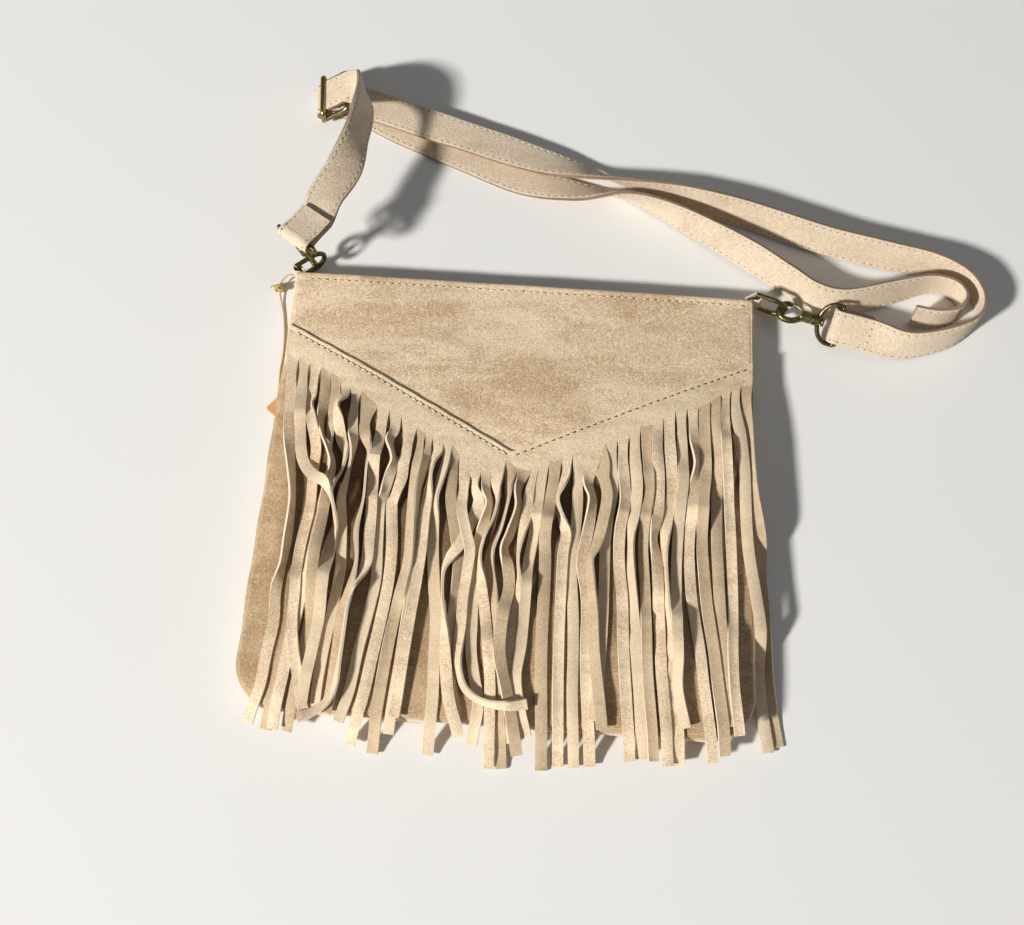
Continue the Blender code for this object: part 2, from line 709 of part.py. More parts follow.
def right_frame():
    """The right clip grips the far end of its ring and lies level."""
    grip = (Vector((*RIGHT_RING_BAR, RING_Z))
            + unit((*RIGHT_RING_DIRECTION, 0)) * (RING_LEG + RING_HALF_WIDTH))
    axis = unit(RIGHT_CLIP_DIRECTION)
    bow = across(UP.cross(axis), axis)
    return grip - axis * GRIP, axis, bow, axis.cross(bow)


def left_frame():
    """The left clip grips the upper leg of its ring and stands up from it."""
    leg = unit((*LEFT_RING_DIRECTION, 0))
    grip = Vector((*LEFT_RING_BAR, RING_Z + RING_HALF_WIDTH)) + leg * LEFT_GRIP_ALONG_LEG
    axis = unit(LEFT_CLIP_DIRECTION)
    bow = across(leg.cross(axis), axis)
    return grip - axis * GRIP, axis, bow, axis.cross(bow)


def clip(side, frame, bar):
    eye("eye_" + side, frame, bar)
    hook("hook_" + side, frame)
    gate("gate_" + side, frame)
    gate_pin("gate_pin_" + side, frame)


# Slider buckle and strap

def slider_frame():
    """The slider's two bars: A low, B high, and the directions of its bars and sides."""
    bar = unit(SLIDER_BAR_DIRECTION)
    flat = across((1, 0, 0), bar)
    rise = flat * cos(SLIDER_TILT) + UP * sin(SLIDER_TILT)
    low = Vector((*LEFT_RING_BAR, 0)) + Vector(SLIDER_FROM_RING)
    return low, low + rise * SLIDER_SPREAD, bar, rise


def strap_slider():
    low, high, bar, rise = slider_frame()
    points = []
    for base, along, step in ((low, -1, -1), (low, 1, -1), (high, 1, 1), (high, -1, 1)):
        middle = base + bar * along * (SLIDER_HALF_LENGTH - SLIDER_CORNER) - rise * step * SLIDER_CORNER
        turn = [(1, 0), (1, 1), (0, 1)] if along == step else [(0, 1), (1, 1), (1, 0)]
        for share, lift in turn:
            reach = SLIDER_CORNER / hypot(share, lift)
            points.append(middle + bar * along * share * reach + rise * step * lift * reach)
    return tube("strap_slider", points, SLIDER_WIRE, "brass", closed=True)


STRAP_BAR_RADIUS = SLIDER_WIRE + GAP + STRAP / 2 + SLIDER_SLACK

# Each stop of a band: its place from the bar of the ring on its side, and which way its upper edge points.
UPPER_BAND_RIGHT = (
    ((0.0840, -0.0220, 0.0104), (0.0, 0.42, 0.90)),
    ((0.1070, -0.0160, 0.0106), (-0.1, 0.2, 0.97)),
    ((0.1220, -0.0060, 0.0108), (0.0, 0.0, 1.0)),
    ((0.1265, 0.0050, 0.0108), (0.0, 0.0, 1.0)),
    ((0.1230, 0.0160, 0.0108), (0.0, 0.0, 1.0)),
    ((0.1140, 0.0240, 0.0108), (0.0, 0.1, 1.0)),
    ((0.0970, 0.0300, 0.0106), (0.0, 0.3, 0.95)),
    ((0.0730, 0.0340, 0.0102), (0.0, 0.42, 0.90)),
    ((0.0360, 0.0420, 0.0102), (0.0, 0.42, 0.90)),
    ((-0.0030, 0.0540, 0.0102), (0.0, 0.40, 0.91)),
    ((-0.0390, 0.0630, 0.0104), (0.0, 0.20, 0.98)),
    ((-0.0710, 0.0690, 0.0112), (0.0, -0.25, 0.97)),
    ((-0.1010, 0.0750, 0.0118), (0.0, -0.75, 0.65)),
    ((-0.1290, 0.0820, 0.0105), (0.0, -0.97, 0.22)),
)
UPPER_BAND_LEFT = (
    ((0.0900, 0.0950, 0.0092), (-0.2, -1.0, 0.06)),
    ((0.0570, 0.1050, 0.0089), (-0.2, -1.0, 0.0)),
)
LOWER_BAND_LEFT = (
    ((0.0570, 0.0990, 0.0018), (-0.2, -1.0, 0.0)),
    ((0.0900, 0.0860, 0.0018), (-0.3, -1.0, 0.0)),
    ((0.1220, 0.0730, 0.0022), (-0.2, -1.0, 0.08)),
)
LOWER_BAND_RIGHT = (
    ((-0.1050, 0.0650, 0.0064), (0.0, -0.86, 0.50)),
    ((-0.0750, 0.0615, 0.0104), (0.0, -0.30, 0.95)),
    ((-0.0490, 0.0520, 0.0106), (0.0, 0.15, 0.98)),
    ((-0.0120, 0.0330, 0.0102), (0.2, 0.40, 0.90)),
    ((0.0170, 0.0150, 0.0102), (0.2, 0.40, 0.90)),
    ((0.0330, 0.0050, 0.0102), (0.1, 0.40, 0.90)),
    ((0.0500, 0.0025, 0.0102), (0.0, 0.40, 0.90)),
    ((0.0750, 0.0100, 0.0104), (0.0, 0.30, 0.95)),
    ((0.0970, 0.0170, 0.0106), (0.0, 0.10, 1.0)),
    ((0.1110, 0.0150, 0.0108), (0.0, 0.0, 1.0)),
    ((0.1165, 0.0070, 0.0108), (0.0, 0.0, 1.0)),
    ((0.1120, -0.0010, 0.0108), (0.0, 0.0, 1.0)),
    ((0.1010, -0.0045, 0.0106), (0.0, 0.1, 1.0)),
    ((0.0880, -0.0030, 0.0104), (0.0, 0.1, 1.0)),
)
SHORT_BAND = (
    ((0.0275, 0.1075, 0.0385), (-0.15, 0.99, 0.0)),
    ((0.0280, 0.0930, 0.0455), (-0.75, 0.66, 0.35)),
    ((0.0260, 0.0720, 0.0455), (-0.98, 0.28, 0.15)),
    ((0.0205, 0.0470, 0.0450), (-0.93, 0.38, 0.05)),
)
SHORT_BAND_RISES = (0.25, 0, 1)
SHORT_BAND_LEAVES = (0.45, 0.86, -0.12)


def laid(stops, bar):
    """Stops of a band, placed from a ring's bar: their places and the directions of their edges."""
    places = [Vector((bar[0] + x, bar[1] + y, z)) for (x, y, z), _ in stops]
    return places, [edge for _, edge in stops]


def strap_long():
    """Folded round the right clip's eye, out and back to the slider, and on to its free end."""
    origin, axis, _, _ = right_frame()
    away = -axis
    bar = across(RIGHT_EYE_BAR, axis)
    fold_side = across(bar.cross(away), away)
    route = bar_loop(origin, away, fold_side, EYE_WIRE + GAP + STRAP / 2, STRAP, FOLD_LENGTH)
    edges = [bar] * len(route)
    low, _, slider_bar, _ = slider_frame()
    flat = across((1, 0, 0), slider_bar)
    turn = [low + UP * STRAP_BAR_RADIUS * cos(pi * step / 8) - flat * STRAP_BAR_RADIUS * sin(pi * step / 8)
            for step in range(9)]
    lead = flat * SLIDER_LEAD
    upper_right, upper_right_edges = laid(UPPER_BAND_RIGHT, RIGHT_RING_BAR)
    upper_left, upper_left_edges = laid(UPPER_BAND_LEFT, LEFT_RING_BAR)
    lower_left, lower_left_edges = laid(LOWER_BAND_LEFT, LEFT_RING_BAR)
    lower_right, lower_right_edges = laid(LOWER_BAND_RIGHT, RIGHT_RING_BAR)
    out = [route[-1], *upper_right, *upper_left, turn[0] + lead, turn[0]]
    back = [turn[-1], turn[-1] + lead, *lower_left, *lower_right]
    out_edges = [bar, *upper_right_edges, *upper_left_edges, -slider_bar, -slider_bar]
    back_edges = [-slider_bar, -slider_bar, *lower_left_edges, *lower_right_edges]
    steps = 3
    route += smooth(out, steps)[1:] + turn[1:-1] + smooth(back, steps)
    edges += smooth(out_edges, steps)[1:] + [-slider_bar] * 7 + smooth(back_edges, steps)
    return ribbon("strap_long", route, edges, STRAP_WIDTH, STRAP, "strap")


def strap_short():
    """From the slider's high bar over to the left clip's eye, folded back and sewn at both ends."""
    _, high, slider_bar, _ = slider_frame()
    rising = across(SHORT_BAND_RISES, slider_bar)
    start = bar_loop(high, rising, across((-1, 0, 0), rising),
                     STRAP_BAR_RADIUS, STRAP, SLIDER_FOLD_LENGTH)
    origin, axis, _, _ = left_frame()
    bar = across(LEFT_EYE_BAR, axis)
    away = across(SHORT_BAND_LEAVES, bar)
    fold_side = across(UP, away)
    end = bar_loop(origin, away, fold_side, EYE_WIRE + GAP + STRAP / 2, STRAP, FOLD_LENGTH)
    end.reverse()
    stops, stop_edges = laid(SHORT_BAND, LEFT_RING_BAR)
    middle = [start[-1], *stops, end[0]]
    middle_edges = [slider_bar, *stop_edges, bar]
    steps = 4
    route = start[:-1] + smooth(middle, steps) + end[1:]
    edges = [slider_bar] * (len(start) - 1) + smooth(middle_edges, steps) + [bar] * (len(end) - 1)
    return ribbon("strap_short", route, edges, STRAP_WIDTH, STRAP, "strap")


# Swing tag on its cord

CORD_ROUTE = (
    (-0.1318, 0.1010, 0.0102),
    (-0.1350, 0.1012, 0.0085),
    (-0.1385, 0.0996, 0.0045),
    (-0.1398, 0.0950, 0.0036),
    (-0.1382, 0.0885, 0.0014),
    (-0.1358, 0.0800, 0.0008),
    (-0.1340, 0.0690, 0.0008),
    (-0.1332, 0.0560, 0.0008),
    (-0.1336, 0.0450, 0.0008),
    (-0.1330, 0.0345, 0.0009),
)


def swing_tag():
    outline = ((0, 0), (TAG_SIDE, 0), (TAG_SIDE, TAG_SIDE), (0, TAG_SIDE))
    curve = bpy.data.curves.new("swing_tag", "CURVE")
    curve.dimensions = "2D"
    curve.fill_mode = "BOTH"
    curve.extrude = TAG_LEATHER / 2
    line = curve.splines.new("POLY")
    line.points.add(len(outline) - 1)
    for point, (x, y) in zip(line.points, outline):
        point.co = (x, y, 0, 1)
    line.use_cyclic_u = True
    thing = bpy.data.objects.new("swing_tag", curve)
    thing.location = (*TAG_CORNER, TAG_FLOOR + TAG_LEATHER / 2)
    thing.rotation_euler = (0, 0, TAG_ANGLE)
    return place(thing, "leather", BAG)


def tag_cord():
    return tube("tag_cord", smooth(CORD_ROUTE, 4), CORD_RADIUS, "cord")


def cord_knot():
    """A tight knot drawn as a ring round the cord."""
    bpy.ops.mesh.primitive_torus_add(major_segments=14, minor_segments=8,
                                     major_radius=CORD_RADIUS + GAP + KNOT_RADIUS / 2,
                                     minor_radius=KNOT_RADIUS / 2)
    thing = bpy.context.object
    thing.name = "cord_knot"
    middle = Vector(CORD_ROUTE[3])
    along = Vector(CORD_ROUTE[4]) - Vector(CORD_ROUTE[2])
    thing.matrix_world = (Matrix.Translation(middle)
                          @ UP.rotation_difference(along).to_matrix().to_4x4())
    return place(thing, "cord", BAG)


clear_scene()
BAG = new_collection("fringed_suede_bag")
TOOLS = new_collection("cutters")

panel("front_panel", front_inner)
panel("back_panel", back_outer)
gusset()
fringe_panel()

row_reach = ZIP_SPLIT / 2 + TOOTH_LENGTH + ROW_HEIGHT + GAP
zip_tape("zip_tape_front", FRONT_EDGE_Z - GAP - TAPE / 2, ZIP_Z + row_reach)
zip_tape("zip_tape_back", SUEDE + GAP + TAPE / 2, ZIP_Z - row_reach)
zip_row("zip_teeth_front", 1)
zip_row("zip_teeth_back", -1)
zip_stop("zip_stop_left", -1)
zip_stop("zip_stop_right", 1)
zip_slider()
zip_pull()

ring("ring_left", LEFT_RING_BAR, LEFT_RING_DIRECTION)
ring("ring_right", RIGHT_RING_BAR, RIGHT_RING_DIRECTION)
ring_tab("ring_tab_left", LEFT_RING_BAR, -1)
ring_tab("ring_tab_right", RIGHT_RING_BAR, 1)
clip("left", left_frame(), LEFT_EYE_BAR)
clip("right", right_frame(), RIGHT_EYE_BAR)
strap_slider()
strap_long()
strap_short()
swing_tag()
tag_cord()
cord_knot()
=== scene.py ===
"""The looks of a fringed suede shoulder bag that lies on its back.

The frame carries the construction. Here are the finishes, the draped fringe, the sewn
panels, the doubled strap, the stitches, and the swing tag on its cord. Metres, +Z up.
"""

from math import cos, pi, radians, sin

import bpy
import numpy as np
from mathutils import Matrix, Vector


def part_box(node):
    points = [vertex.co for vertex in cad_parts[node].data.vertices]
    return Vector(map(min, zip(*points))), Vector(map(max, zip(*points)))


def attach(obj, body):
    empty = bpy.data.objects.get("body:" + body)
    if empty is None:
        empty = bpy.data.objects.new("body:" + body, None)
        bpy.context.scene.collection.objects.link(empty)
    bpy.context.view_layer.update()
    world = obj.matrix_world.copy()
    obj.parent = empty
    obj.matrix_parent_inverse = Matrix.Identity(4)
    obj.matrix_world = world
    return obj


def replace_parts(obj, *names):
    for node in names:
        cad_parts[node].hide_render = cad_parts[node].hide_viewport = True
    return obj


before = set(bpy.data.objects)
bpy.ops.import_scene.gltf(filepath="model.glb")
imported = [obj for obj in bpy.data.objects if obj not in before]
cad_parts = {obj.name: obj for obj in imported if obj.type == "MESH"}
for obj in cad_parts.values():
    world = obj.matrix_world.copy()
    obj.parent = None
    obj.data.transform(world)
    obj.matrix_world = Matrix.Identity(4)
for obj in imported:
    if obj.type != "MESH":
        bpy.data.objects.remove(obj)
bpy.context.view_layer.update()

# Camera: above the bag, leaning back a little from straight down
VIEW_DISTANCE = 0.850
VIEW_TILT = radians(20)
VIEW_ROLL = radians(4)
PHOTO_WIDTH = 1024
PHOTO_CENTRE = (512, 462)
FOCAL_PIXELS = 1545
SENSOR_MM = 36

# Bag body, as the frame's panels have it
MOUTH_HALF = 0.128
FOOT_HALF = 0.134
CORNER = 0.024
SUEDE = 0.0014
GUSSET_SUEDE = 0.0012
GUSSET_INSET = 0.0006
BACK_RISE = 0.0035
BACK_FLAT_FROM = 0.034
FRONT_CROWN = 0.0070
MOUTH_CROWN = 0.0008
CROWN_REACH = 0.060
MOUTH_REACH = 0.090
MOUTH_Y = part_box("front_panel")[1].y
FOOT_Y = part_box("front_panel")[0].y
FRONT_EDGE_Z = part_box("front_panel")[0].z
EDGE_ROLL = 0.0022
MOUTH_ROLL = 0.45
SOFTNESS = 0.00045
BACK_SOFTNESS = 0.00012
GAP = 0.0003

# Fringe layer
V_LEFT_Y = 0.067
V_RIGHT_Y = 0.061
V_APEX_Y = -0.003
FRINGE = 0.0013
FRINGE_REST = 0.0003
FRINGE_INSIDE = 0.0004
FRINGE_EDGE = 0.00025
STRIP_WIDTH = 0.0058
SLIT_GAP = 0.0010
STRIP_ROW = 0.0016
STRIP_CELLS = 4
STRIP_WIDTH_VARIES = 0.05
SLIT_VARIES = 0.5
SLIT_OPENS = 0.006
WIDE_SLITS = 16
WIDE_SLIT = 1.5
SWAY = radians(7)
SWAY_PACE = 75
SWAY_FROM = 0.03
CUP = 0.00035
SPREAD_FROM = 0.010
SPREAD_OVER = 0.025
READ_NEAR_BAND = 0.62
COVER_NEAR_BAND = 0.84
BAND_LEAVES = 0.014
LOOSE_LIFT = 0.0007
LOOSE_REACH = 0.06
BAND_STEPS = (0, 0.03, 0.08, 0.115, 0.14, 0.165, 0.19, 0.23, 0.32, 0.50, 0.75, 1)
NECK = 0.016
DRAPE_SLOPE = 1.1
LAY_CELL = 0.001
LAY_GAP = 0.00025
LAY_LOW = (-0.160, -0.190)
LAY_CELLS = (330, 280)

# Sewing
STITCH_PITCH = 0.0041
STITCH_LENGTH = 0.0024
THREAD = 0.00036
# Size of the dark lens of painted shade at each needle hole
HOLE_LENGTH = 0.0015
HOLE_WIDTH = 0.0008
MOUTH_SEAM = 0.0040
BACK_SEAM_DIP = 0.0006
V_SEAM = 0.0029
STRAP_SEAM = 0.0021

# Strap
STRAP_WIDTH = 0.020
STRAP = 0.0026
STRAP_ROW_STEPS = 12
FOLD_LENGTH = 0.018
FOLD_TAPER = 0.009
LOOP_STEPS = 16
# Rows close to a cut end, as shares of the end's first span, keep the end crisp
CUT_END_ROWS = (0.03, 0.10)
CUT_END_BULGE = 0.0002

UP = Vector((0, 0, 1))


def photo_point(px, py, height):
    """The point at a height above the floor that the camera sees at a pixel of the photograph."""
    across_view = (px - PHOTO_CENTRE[0]) / FOCAL_PIXELS
    up_view = (PHOTO_CENTRE[1] - py) / FOCAL_PIXELS
    ray_y = up_view * cos(VIEW_TILT) + sin(VIEW_TILT)
    ray_z = up_view * sin(VIEW_TILT) - cos(VIEW_TILT)
    reach = (height - VIEW_DISTANCE * cos(VIEW_TILT)) / ray_z
    x = reach * across_view
    y = -VIEW_DISTANCE * sin(VIEW_TILT) + reach * ray_y
    across_floor = x * cos(VIEW_ROLL) - y * sin(VIEW_ROLL)
    up_floor = x * sin(VIEW_ROLL) + y * cos(VIEW_ROLL)
    return Vector((across_floor, up_floor, height))


def make_camera():
    right = Vector((cos(VIEW_ROLL), sin(VIEW_ROLL), 0))
    ahead = Vector((-sin(VIEW_ROLL), cos(VIEW_ROLL), 0))
    back = UP * cos(VIEW_TILT) - ahead * sin(VIEW_TILT)
    top = ahead * cos(VIEW_TILT) + UP * sin(VIEW_TILT)
    data = bpy.data.cameras.new("photo_camera")
    data.sensor_width = SENSOR_MM
    data.lens = FOCAL_PIXELS / PHOTO_WIDTH * SENSOR_MM
    camera = bpy.data.objects.new("photo_camera", data)
    turned = Matrix((right, top, back)).transposed().to_4x4()
    camera.matrix_world = Matrix.Translation(back * VIEW_DISTANCE) @ turned
    bpy.context.scene.collection.objects.link(camera)
    bpy.context.scene.camera = camera


make_camera()


# Shader helpers

class Shader:
    """A short way to add and join nodes in one tree."""

    def __init__(self, tree):
        self.tree = tree

    def add(self, kind, values=None, **settings):
        node = self.tree.nodes.new(kind)
        for name, value in settings.items():
            setattr(node, name, value)
        for name, value in (values or {}).items():
            if isinstance(value, bpy.types.NodeSocket):
                self.tree.links.new(value, node.inputs[name])
            else:
                node.inputs[name].default_value = value
        return node

    def maths(self, operation, first, second=0.0, clamp=False):
        node = self.add("ShaderNodeMath", {0: first, 1: second}, operation=operation, use_clamp=clamp)
        return node.outputs[0]

    def mix(self, share, first, second, kind="MIX"):
        node = self.add("ShaderNodeMix", data_type="RGBA", blend_type=kind)
        for socket, value in ((0, share), (6, first), (7, second)):
            if isinstance(value, bpy.types.NodeSocket):
                self.tree.links.new(value, node.inputs[socket])
            else:
                node.inputs[socket].default_value = value
        return node.outputs[2]

    def noise(self, place, scale, detail=2.0, roughness=0.5, distortion=0.0):
        return self.add("ShaderNodeTexNoise", {"Vector": place, "Scale": scale, "Detail": detail,
                                               "Roughness": roughness, "Distortion": distortion}).outputs[0]

    def spread(self, value, low, high, start=0.0, end=1.0):
        return self.add("ShaderNodeMapRange", {0: value, 1: low, 2: high, 3: start, 4: end}).outputs[0]

    def stretched(self, place, scales):
        return self.add("ShaderNodeMapping", {"Vector": place, "Scale": scales}).outputs[0]

    def place(self):
        return self.add("ShaderNodeTexCoord").outputs["Object"]

    def finish(self, principled, colour, roughness, height=None, strength=0.5, distance=0.0002):
        """Feeds a colour, a roughness and, through a bump, a height to the surface."""
        self.tree.links.new(colour, principled.inputs["Base Color"])
        self.tree.links.new(roughness, principled.inputs["Roughness"])
        if height is not None:
            bump = self.add("ShaderNodeBump", {"Strength": strength, "Distance": distance, "Height": height})
            self.tree.links.new(bump.outputs[0], principled.inputs["Normal"])


def new_group(name, inputs, outputs):
    """A node group with named sockets; returns the tree, its shader helper and its two end nodes."""
    tree = bpy.data.node_groups.new(name, "ShaderNodeTree")
    for socket_name, kind, value in inputs:
        socket = tree.interface.new_socket(name=socket_name, in_out="INPUT", socket_type=kind)
        if value is not None:
            socket.default_value = value
    for socket_name, kind in outputs:
        tree.interface.new_socket(name=socket_name, in_out="OUTPUT", socket_type=kind)
    shader = Shader(tree)
    return tree, shader, shader.add("NodeGroupInput"), shader.add("NodeGroupOutput")


def suede_group():
    """Mottled nap: soft blotches, brushed streaks across the bag and a fine wormy grain."""
    tree, s, start, end = new_group(
        "suede_nap",
        [("Place", "NodeSocketVector", None), ("Light", "NodeSocketColor", (0.8, 0.6, 0.4, 1)),
         ("Dark", "NodeSocketColor", (0.6, 0.4, 0.25, 1)), ("Blotch", "NodeSocketFloat", 0.5),
         ("Nap", "NodeSocketFloat", 0.5), ("Grain Size", "NodeSocketFloat", 1.0)],
        [("Color", "NodeSocketColor"), ("Roughness", "NodeSocketFloat"), ("Height", "NodeSocketFloat")])
    place = start.outputs["Place"]
    wide = s.noise(s.stretched(place, (0.75, 1.5, 1.0)), 24.0, 3.0, 0.55, 0.6)
    streak = s.noise(s.stretched(place, (0.32, 1.3, 1.0)), 62.0, 1.6, 0.5, 0.9)
    turned = s.add("ShaderNodeMapping", {"Vector": place, "Rotation": (0.6, 0.5, 0.7)}).outputs[0]
    grain_place = s.add("ShaderNodeVectorMath", {0: turned, "Scale": start.outputs["Grain Size"]},
                        operation="SCALE").outputs[0]
    middle = s.noise(grain_place, 150.0, 3.0, 0.6, 0.4)
    patch = s.noise(grain_place, 380.0, 2.0, 0.6)
    worm = s.noise(grain_place, 640.0, 2.5, 0.6, 2.2)
    fibre = s.noise(grain_place, 1700.0, 2.0, 0.6, 1.2)
    cloud = s.maths("ADD", s.maths("MULTIPLY", s.spread(wide, 0.37, 0.63), 0.32),
                    s.maths("MULTIPLY", s.spread(streak, 0.37, 0.63), 0.40))
    cloud = s.maths("ADD", cloud, s.maths("MULTIPLY", s.spread(middle, 0.3, 0.7), 0.18))
    cloud = s.maths("ADD", cloud, s.maths("MULTIPLY", s.spread(patch, 0.3, 0.7), 0.12))
    fine = s.maths("ADD", s.maths("MULTIPLY", s.spread(worm, 0.39, 0.61), 0.6),
                   s.maths("MULTIPLY", s.spread(fibre, 0.38, 0.62), 0.4))
    grain = s.maths("MULTIPLY", s.maths("SUBTRACT", 0.5, fine), start.outputs["Nap"])
    dark_share = s.maths("ADD", s.maths("MULTIPLY", cloud, start.outputs["Blotch"]), grain, clamp=True)
    s.tree.links.new(s.mix(dark_share, start.outputs["Light"], start.outputs["Dark"]), end.inputs["Color"])
    s.tree.links.new(s.spread(cloud, 0.0, 1.0, 0.86, 0.98), end.inputs["Roughness"])
    s.tree.links.new(s.maths("ADD", fine, s.maths("MULTIPLY", patch, 0.5)), end.inputs["Height"])
    return tree


def wear_group():
    """Old metal: dark film in the hollows, bright rubbed places on the corners, fine scratches."""
    tree, s, start, end = new_group(
        "rubbed_metal",
        [("Place", "NodeSocketVector", None), ("Bright", "NodeSocketColor", (0.6, 0.5, 0.25, 1)),
         ("Film", "NodeSocketColor", (0.15, 0.12, 0.05, 1)), ("Rub", "NodeSocketFloat", 0.5)],
        [("Color", "NodeSocketColor"), ("Roughness", "NodeSocketFloat"), ("Height", "NodeSocketFloat")])
    place = start.outputs["Place"]
    cloud = s.noise(place, 420.0, 4.0, 0.6, 0.5)
    speck = s.noise(place, 2600.0, 3.0, 0.6)
    scratch = s.noise(s.stretched(place, (1.0, 6.0, 3.0)), 1500.0, 2.0, 0.6)
    corner = s.spread(s.add("ShaderNodeNewGeometry").outputs["Pointiness"], 0.50, 0.56)
    rubbed = s.maths("ADD", s.maths("MULTIPLY", corner, start.outputs["Rub"]),
                     s.maths("MULTIPLY", s.spread(cloud, 0.42, 0.66), 0.55))
    rubbed = s.maths("ADD", rubbed, s.maths("MULTIPLY", s.spread(scratch, 0.58, 0.70), 0.25), clamp=True)
    base = s.mix(rubbed, start.outputs["Film"], start.outputs["Bright"])
    s.tree.links.new(s.mix(s.spread(speck, 0.60, 0.72, 0.0, 0.5), base, (0.05, 0.04, 0.02, 1)),
                     end.inputs["Color"])
    s.tree.links.new(s.spread(rubbed, 0.0, 1.0, 0.46, 0.24), end.inputs["Roughness"])
    s.tree.links.new(s.maths("ADD", cloud, s.maths("MULTIPLY", speck, 0.35)), end.inputs["Height"])
    return tree


SUEDE_GROUP = suede_group()
WEAR_GROUP = wear_group()


def new_material(name, shown, **constants):
    material = bpy.data.materials.new(name)
    material.use_nodes = True
    material.diffuse_color = (*shown, 1)
    principled = material.node_tree.nodes["Principled BSDF"]
    for socket, value in constants.items():
        principled.inputs[socket.replace("_", " ")].default_value = value
    return material, Shader(material.node_tree), principled


def finish_with_group(shader, principled, group_tree, strength, distance, **values):
    """Places a group with its own values and feeds what it puts out to the surface."""
    group = shader.add("ShaderNodeGroup", node_tree=group_tree)
    shader.tree.links.new(shader.place(), group.inputs["Place"])
    for socket, value in values.items():
        group.inputs[socket.replace("_", " ")].default_value = value
    shader.finish(principled, group.outputs["Color"], group.outputs["Roughness"], group.outputs["Height"],
                  strength, distance)


def suede_material(name, light, dark, blotch=0.6, nap=0.55, grain=1.0, bump=0.5):
    material, s, principled = new_material(name, light, Sheen_Weight=0.25, Sheen_Roughness=0.5,
                                           Specular_IOR_Level=0.15)
    finish_with_group(s, principled, SUEDE_GROUP, bump, 0.0004, Light=(*light, 1), Dark=(*dark, 1),
                      Blotch=blotch, Nap=nap, Grain_Size=grain)
    return material


# Where painted shade browns and darkens the body suede under the fringe: below the band, inside the bag's
# sides, lighter towards its foot
UNDER_BAND_FROM = 0.012
UNDER_BAND_FADE = 0.008
FRONT_FROM_Z = (0.010, 0.013)
SIDE_MARGIN = (0.123, 0.108)
PALER_DOWN_TO_FOOT = (-0.050, -0.125)


def body_material(name, light, dark, deep, low, **settings):
    """Body suede browned where the fringe covers it, with painted shade that is deepest under the band."""
    material = suede_material(name, light, dark, **settings)
    s = Shader(material.node_tree)
    principled = material.node_tree.nodes["Principled BSDF"]
    colour = principled.inputs["Base Color"].links[0].from_socket
    parts = s.add("ShaderNodeSeparateXYZ", {0: s.place()}).outputs
    slope = (V_RIGHT_Y - V_APEX_Y) / MOUTH_HALF
    sideways = s.maths("MULTIPLY", s.maths("ABSOLUTE", parts[0]), slope)
    seam = s.maths("ADD", sideways, V_APEX_Y - UNDER_BAND_FROM)
    below = s.spread(s.maths("SUBTRACT", seam, parts[1]), 0.0, UNDER_BAND_FADE)
    front = s.spread(parts[2], *FRONT_FROM_Z)
    margin = s.spread(s.maths("ABSOLUTE", parts[0]), *SIDE_MARGIN)
    # Painted shade: the deep colour darkens the suede just below the band, fading to the low colour towards
    # the foot and at the bag's sides
    shade = s.mix(s.spread(parts[1], *PALER_DOWN_TO_FOOT), (*deep, 1), (*low, 1))
    shade = s.mix(margin, (*low, 1), shade)
    painted_shade_tint = s.mix(s.maths("MULTIPLY", below, front), (1, 1, 1, 1), shade)
    s.tree.links.new(s.mix(1.0, colour, painted_shade_tint, "MULTIPLY"), principled.inputs["Base Color"])
    return material


def brass_material(name, bright, film, rub=0.7):
    material, s, principled = new_material(name, film, Metallic=1.0)
    finish_with_group(s, principled, WEAR_GROUP, 0.25, 0.0001, Bright=(*bright, 1), Film=(*film, 1), Rub=rub)
    return material


def thread_material(name, light, dark, scale):
    """Twisted thread or cord: two strands that wind round each other."""
    material, s, principled = new_material(name, light, Sheen_Weight=0.2)
    wave = s.add("ShaderNodeTexWave", {"Vector": s.place(), "Scale": scale, "Distortion": 1.5, "Detail": 1.0,
                                       "Detail Scale": 2.0}, bands_direction="DIAGONAL").outputs["Fac"]
    s.finish(principled, s.mix(wave, (*dark, 1), (*light, 1)), s.spread(wave, 0, 1, 0.9, 0.7), wave, 0.6)
    return material


def tape_material(name, light, dark):
    """Woven zip tape: ribs along and across."""
    material, s, principled = new_material(name, light, Sheen_Weight=0.15)
    place = s.place()
    rib, weft = (s.add("ShaderNodeTexWave", {"Vector": place, "Scale": scale, "Distortion": 0.3},
                       bands_direction=direction).outputs["Fac"]
                 for direction, scale in (("X", 420.0), ("Y", 300.0)))
    weave = s.maths("MULTIPLY", s.maths("ADD", rib, weft), 0.5)
    worn = s.maths("MULTIPLY", weave, s.spread(s.noise(place, 180.0, 3.0), 0.3, 0.7, 0.6, 1.0))
    s.finish(principled, s.mix(worn, (*dark, 1), (*light, 1)), s.spread(weave, 0, 1, 0.95, 0.8), weave)
    return material


def tag_material(name, light, dark):
    """Smooth tan leather with pores and a faint pull-up."""
    material, s, principled = new_material(name, light, Coat_Weight=0.08)
    place = s.place()
    cells = s.add("ShaderNodeTexVoronoi", {"Vector": place, "Scale": 1700.0},
                  feature="DISTANCE_TO_EDGE").outputs["Distance"]
    cloud = s.noise(place, 160.0, 4.0, 0.6, 0.4)
    s.finish(principled, s.mix(s.spread(cloud, 0.3, 0.7), (*light, 1), (*dark, 1)),
             s.spread(cloud, 0.3, 0.7, 0.5, 0.66), s.spread(cells, 0.0, 0.12), 0.35, 0.0001)
    return material


def hole_shade_material(name, colour):
    """The shadowed needle holes between stitches."""
    material, s, principled = new_material(name, colour, Specular_IOR_Level=0.1)
    cloud = s.noise(s.place(), 900.0, 2.0)
    darker = tuple(part * 0.6 for part in colour)
    s.finish(principled, s.mix(cloud, (*colour, 1), (*darker, 1)), s.spread(cloud, 0, 1, 0.85, 1.0))
    return material
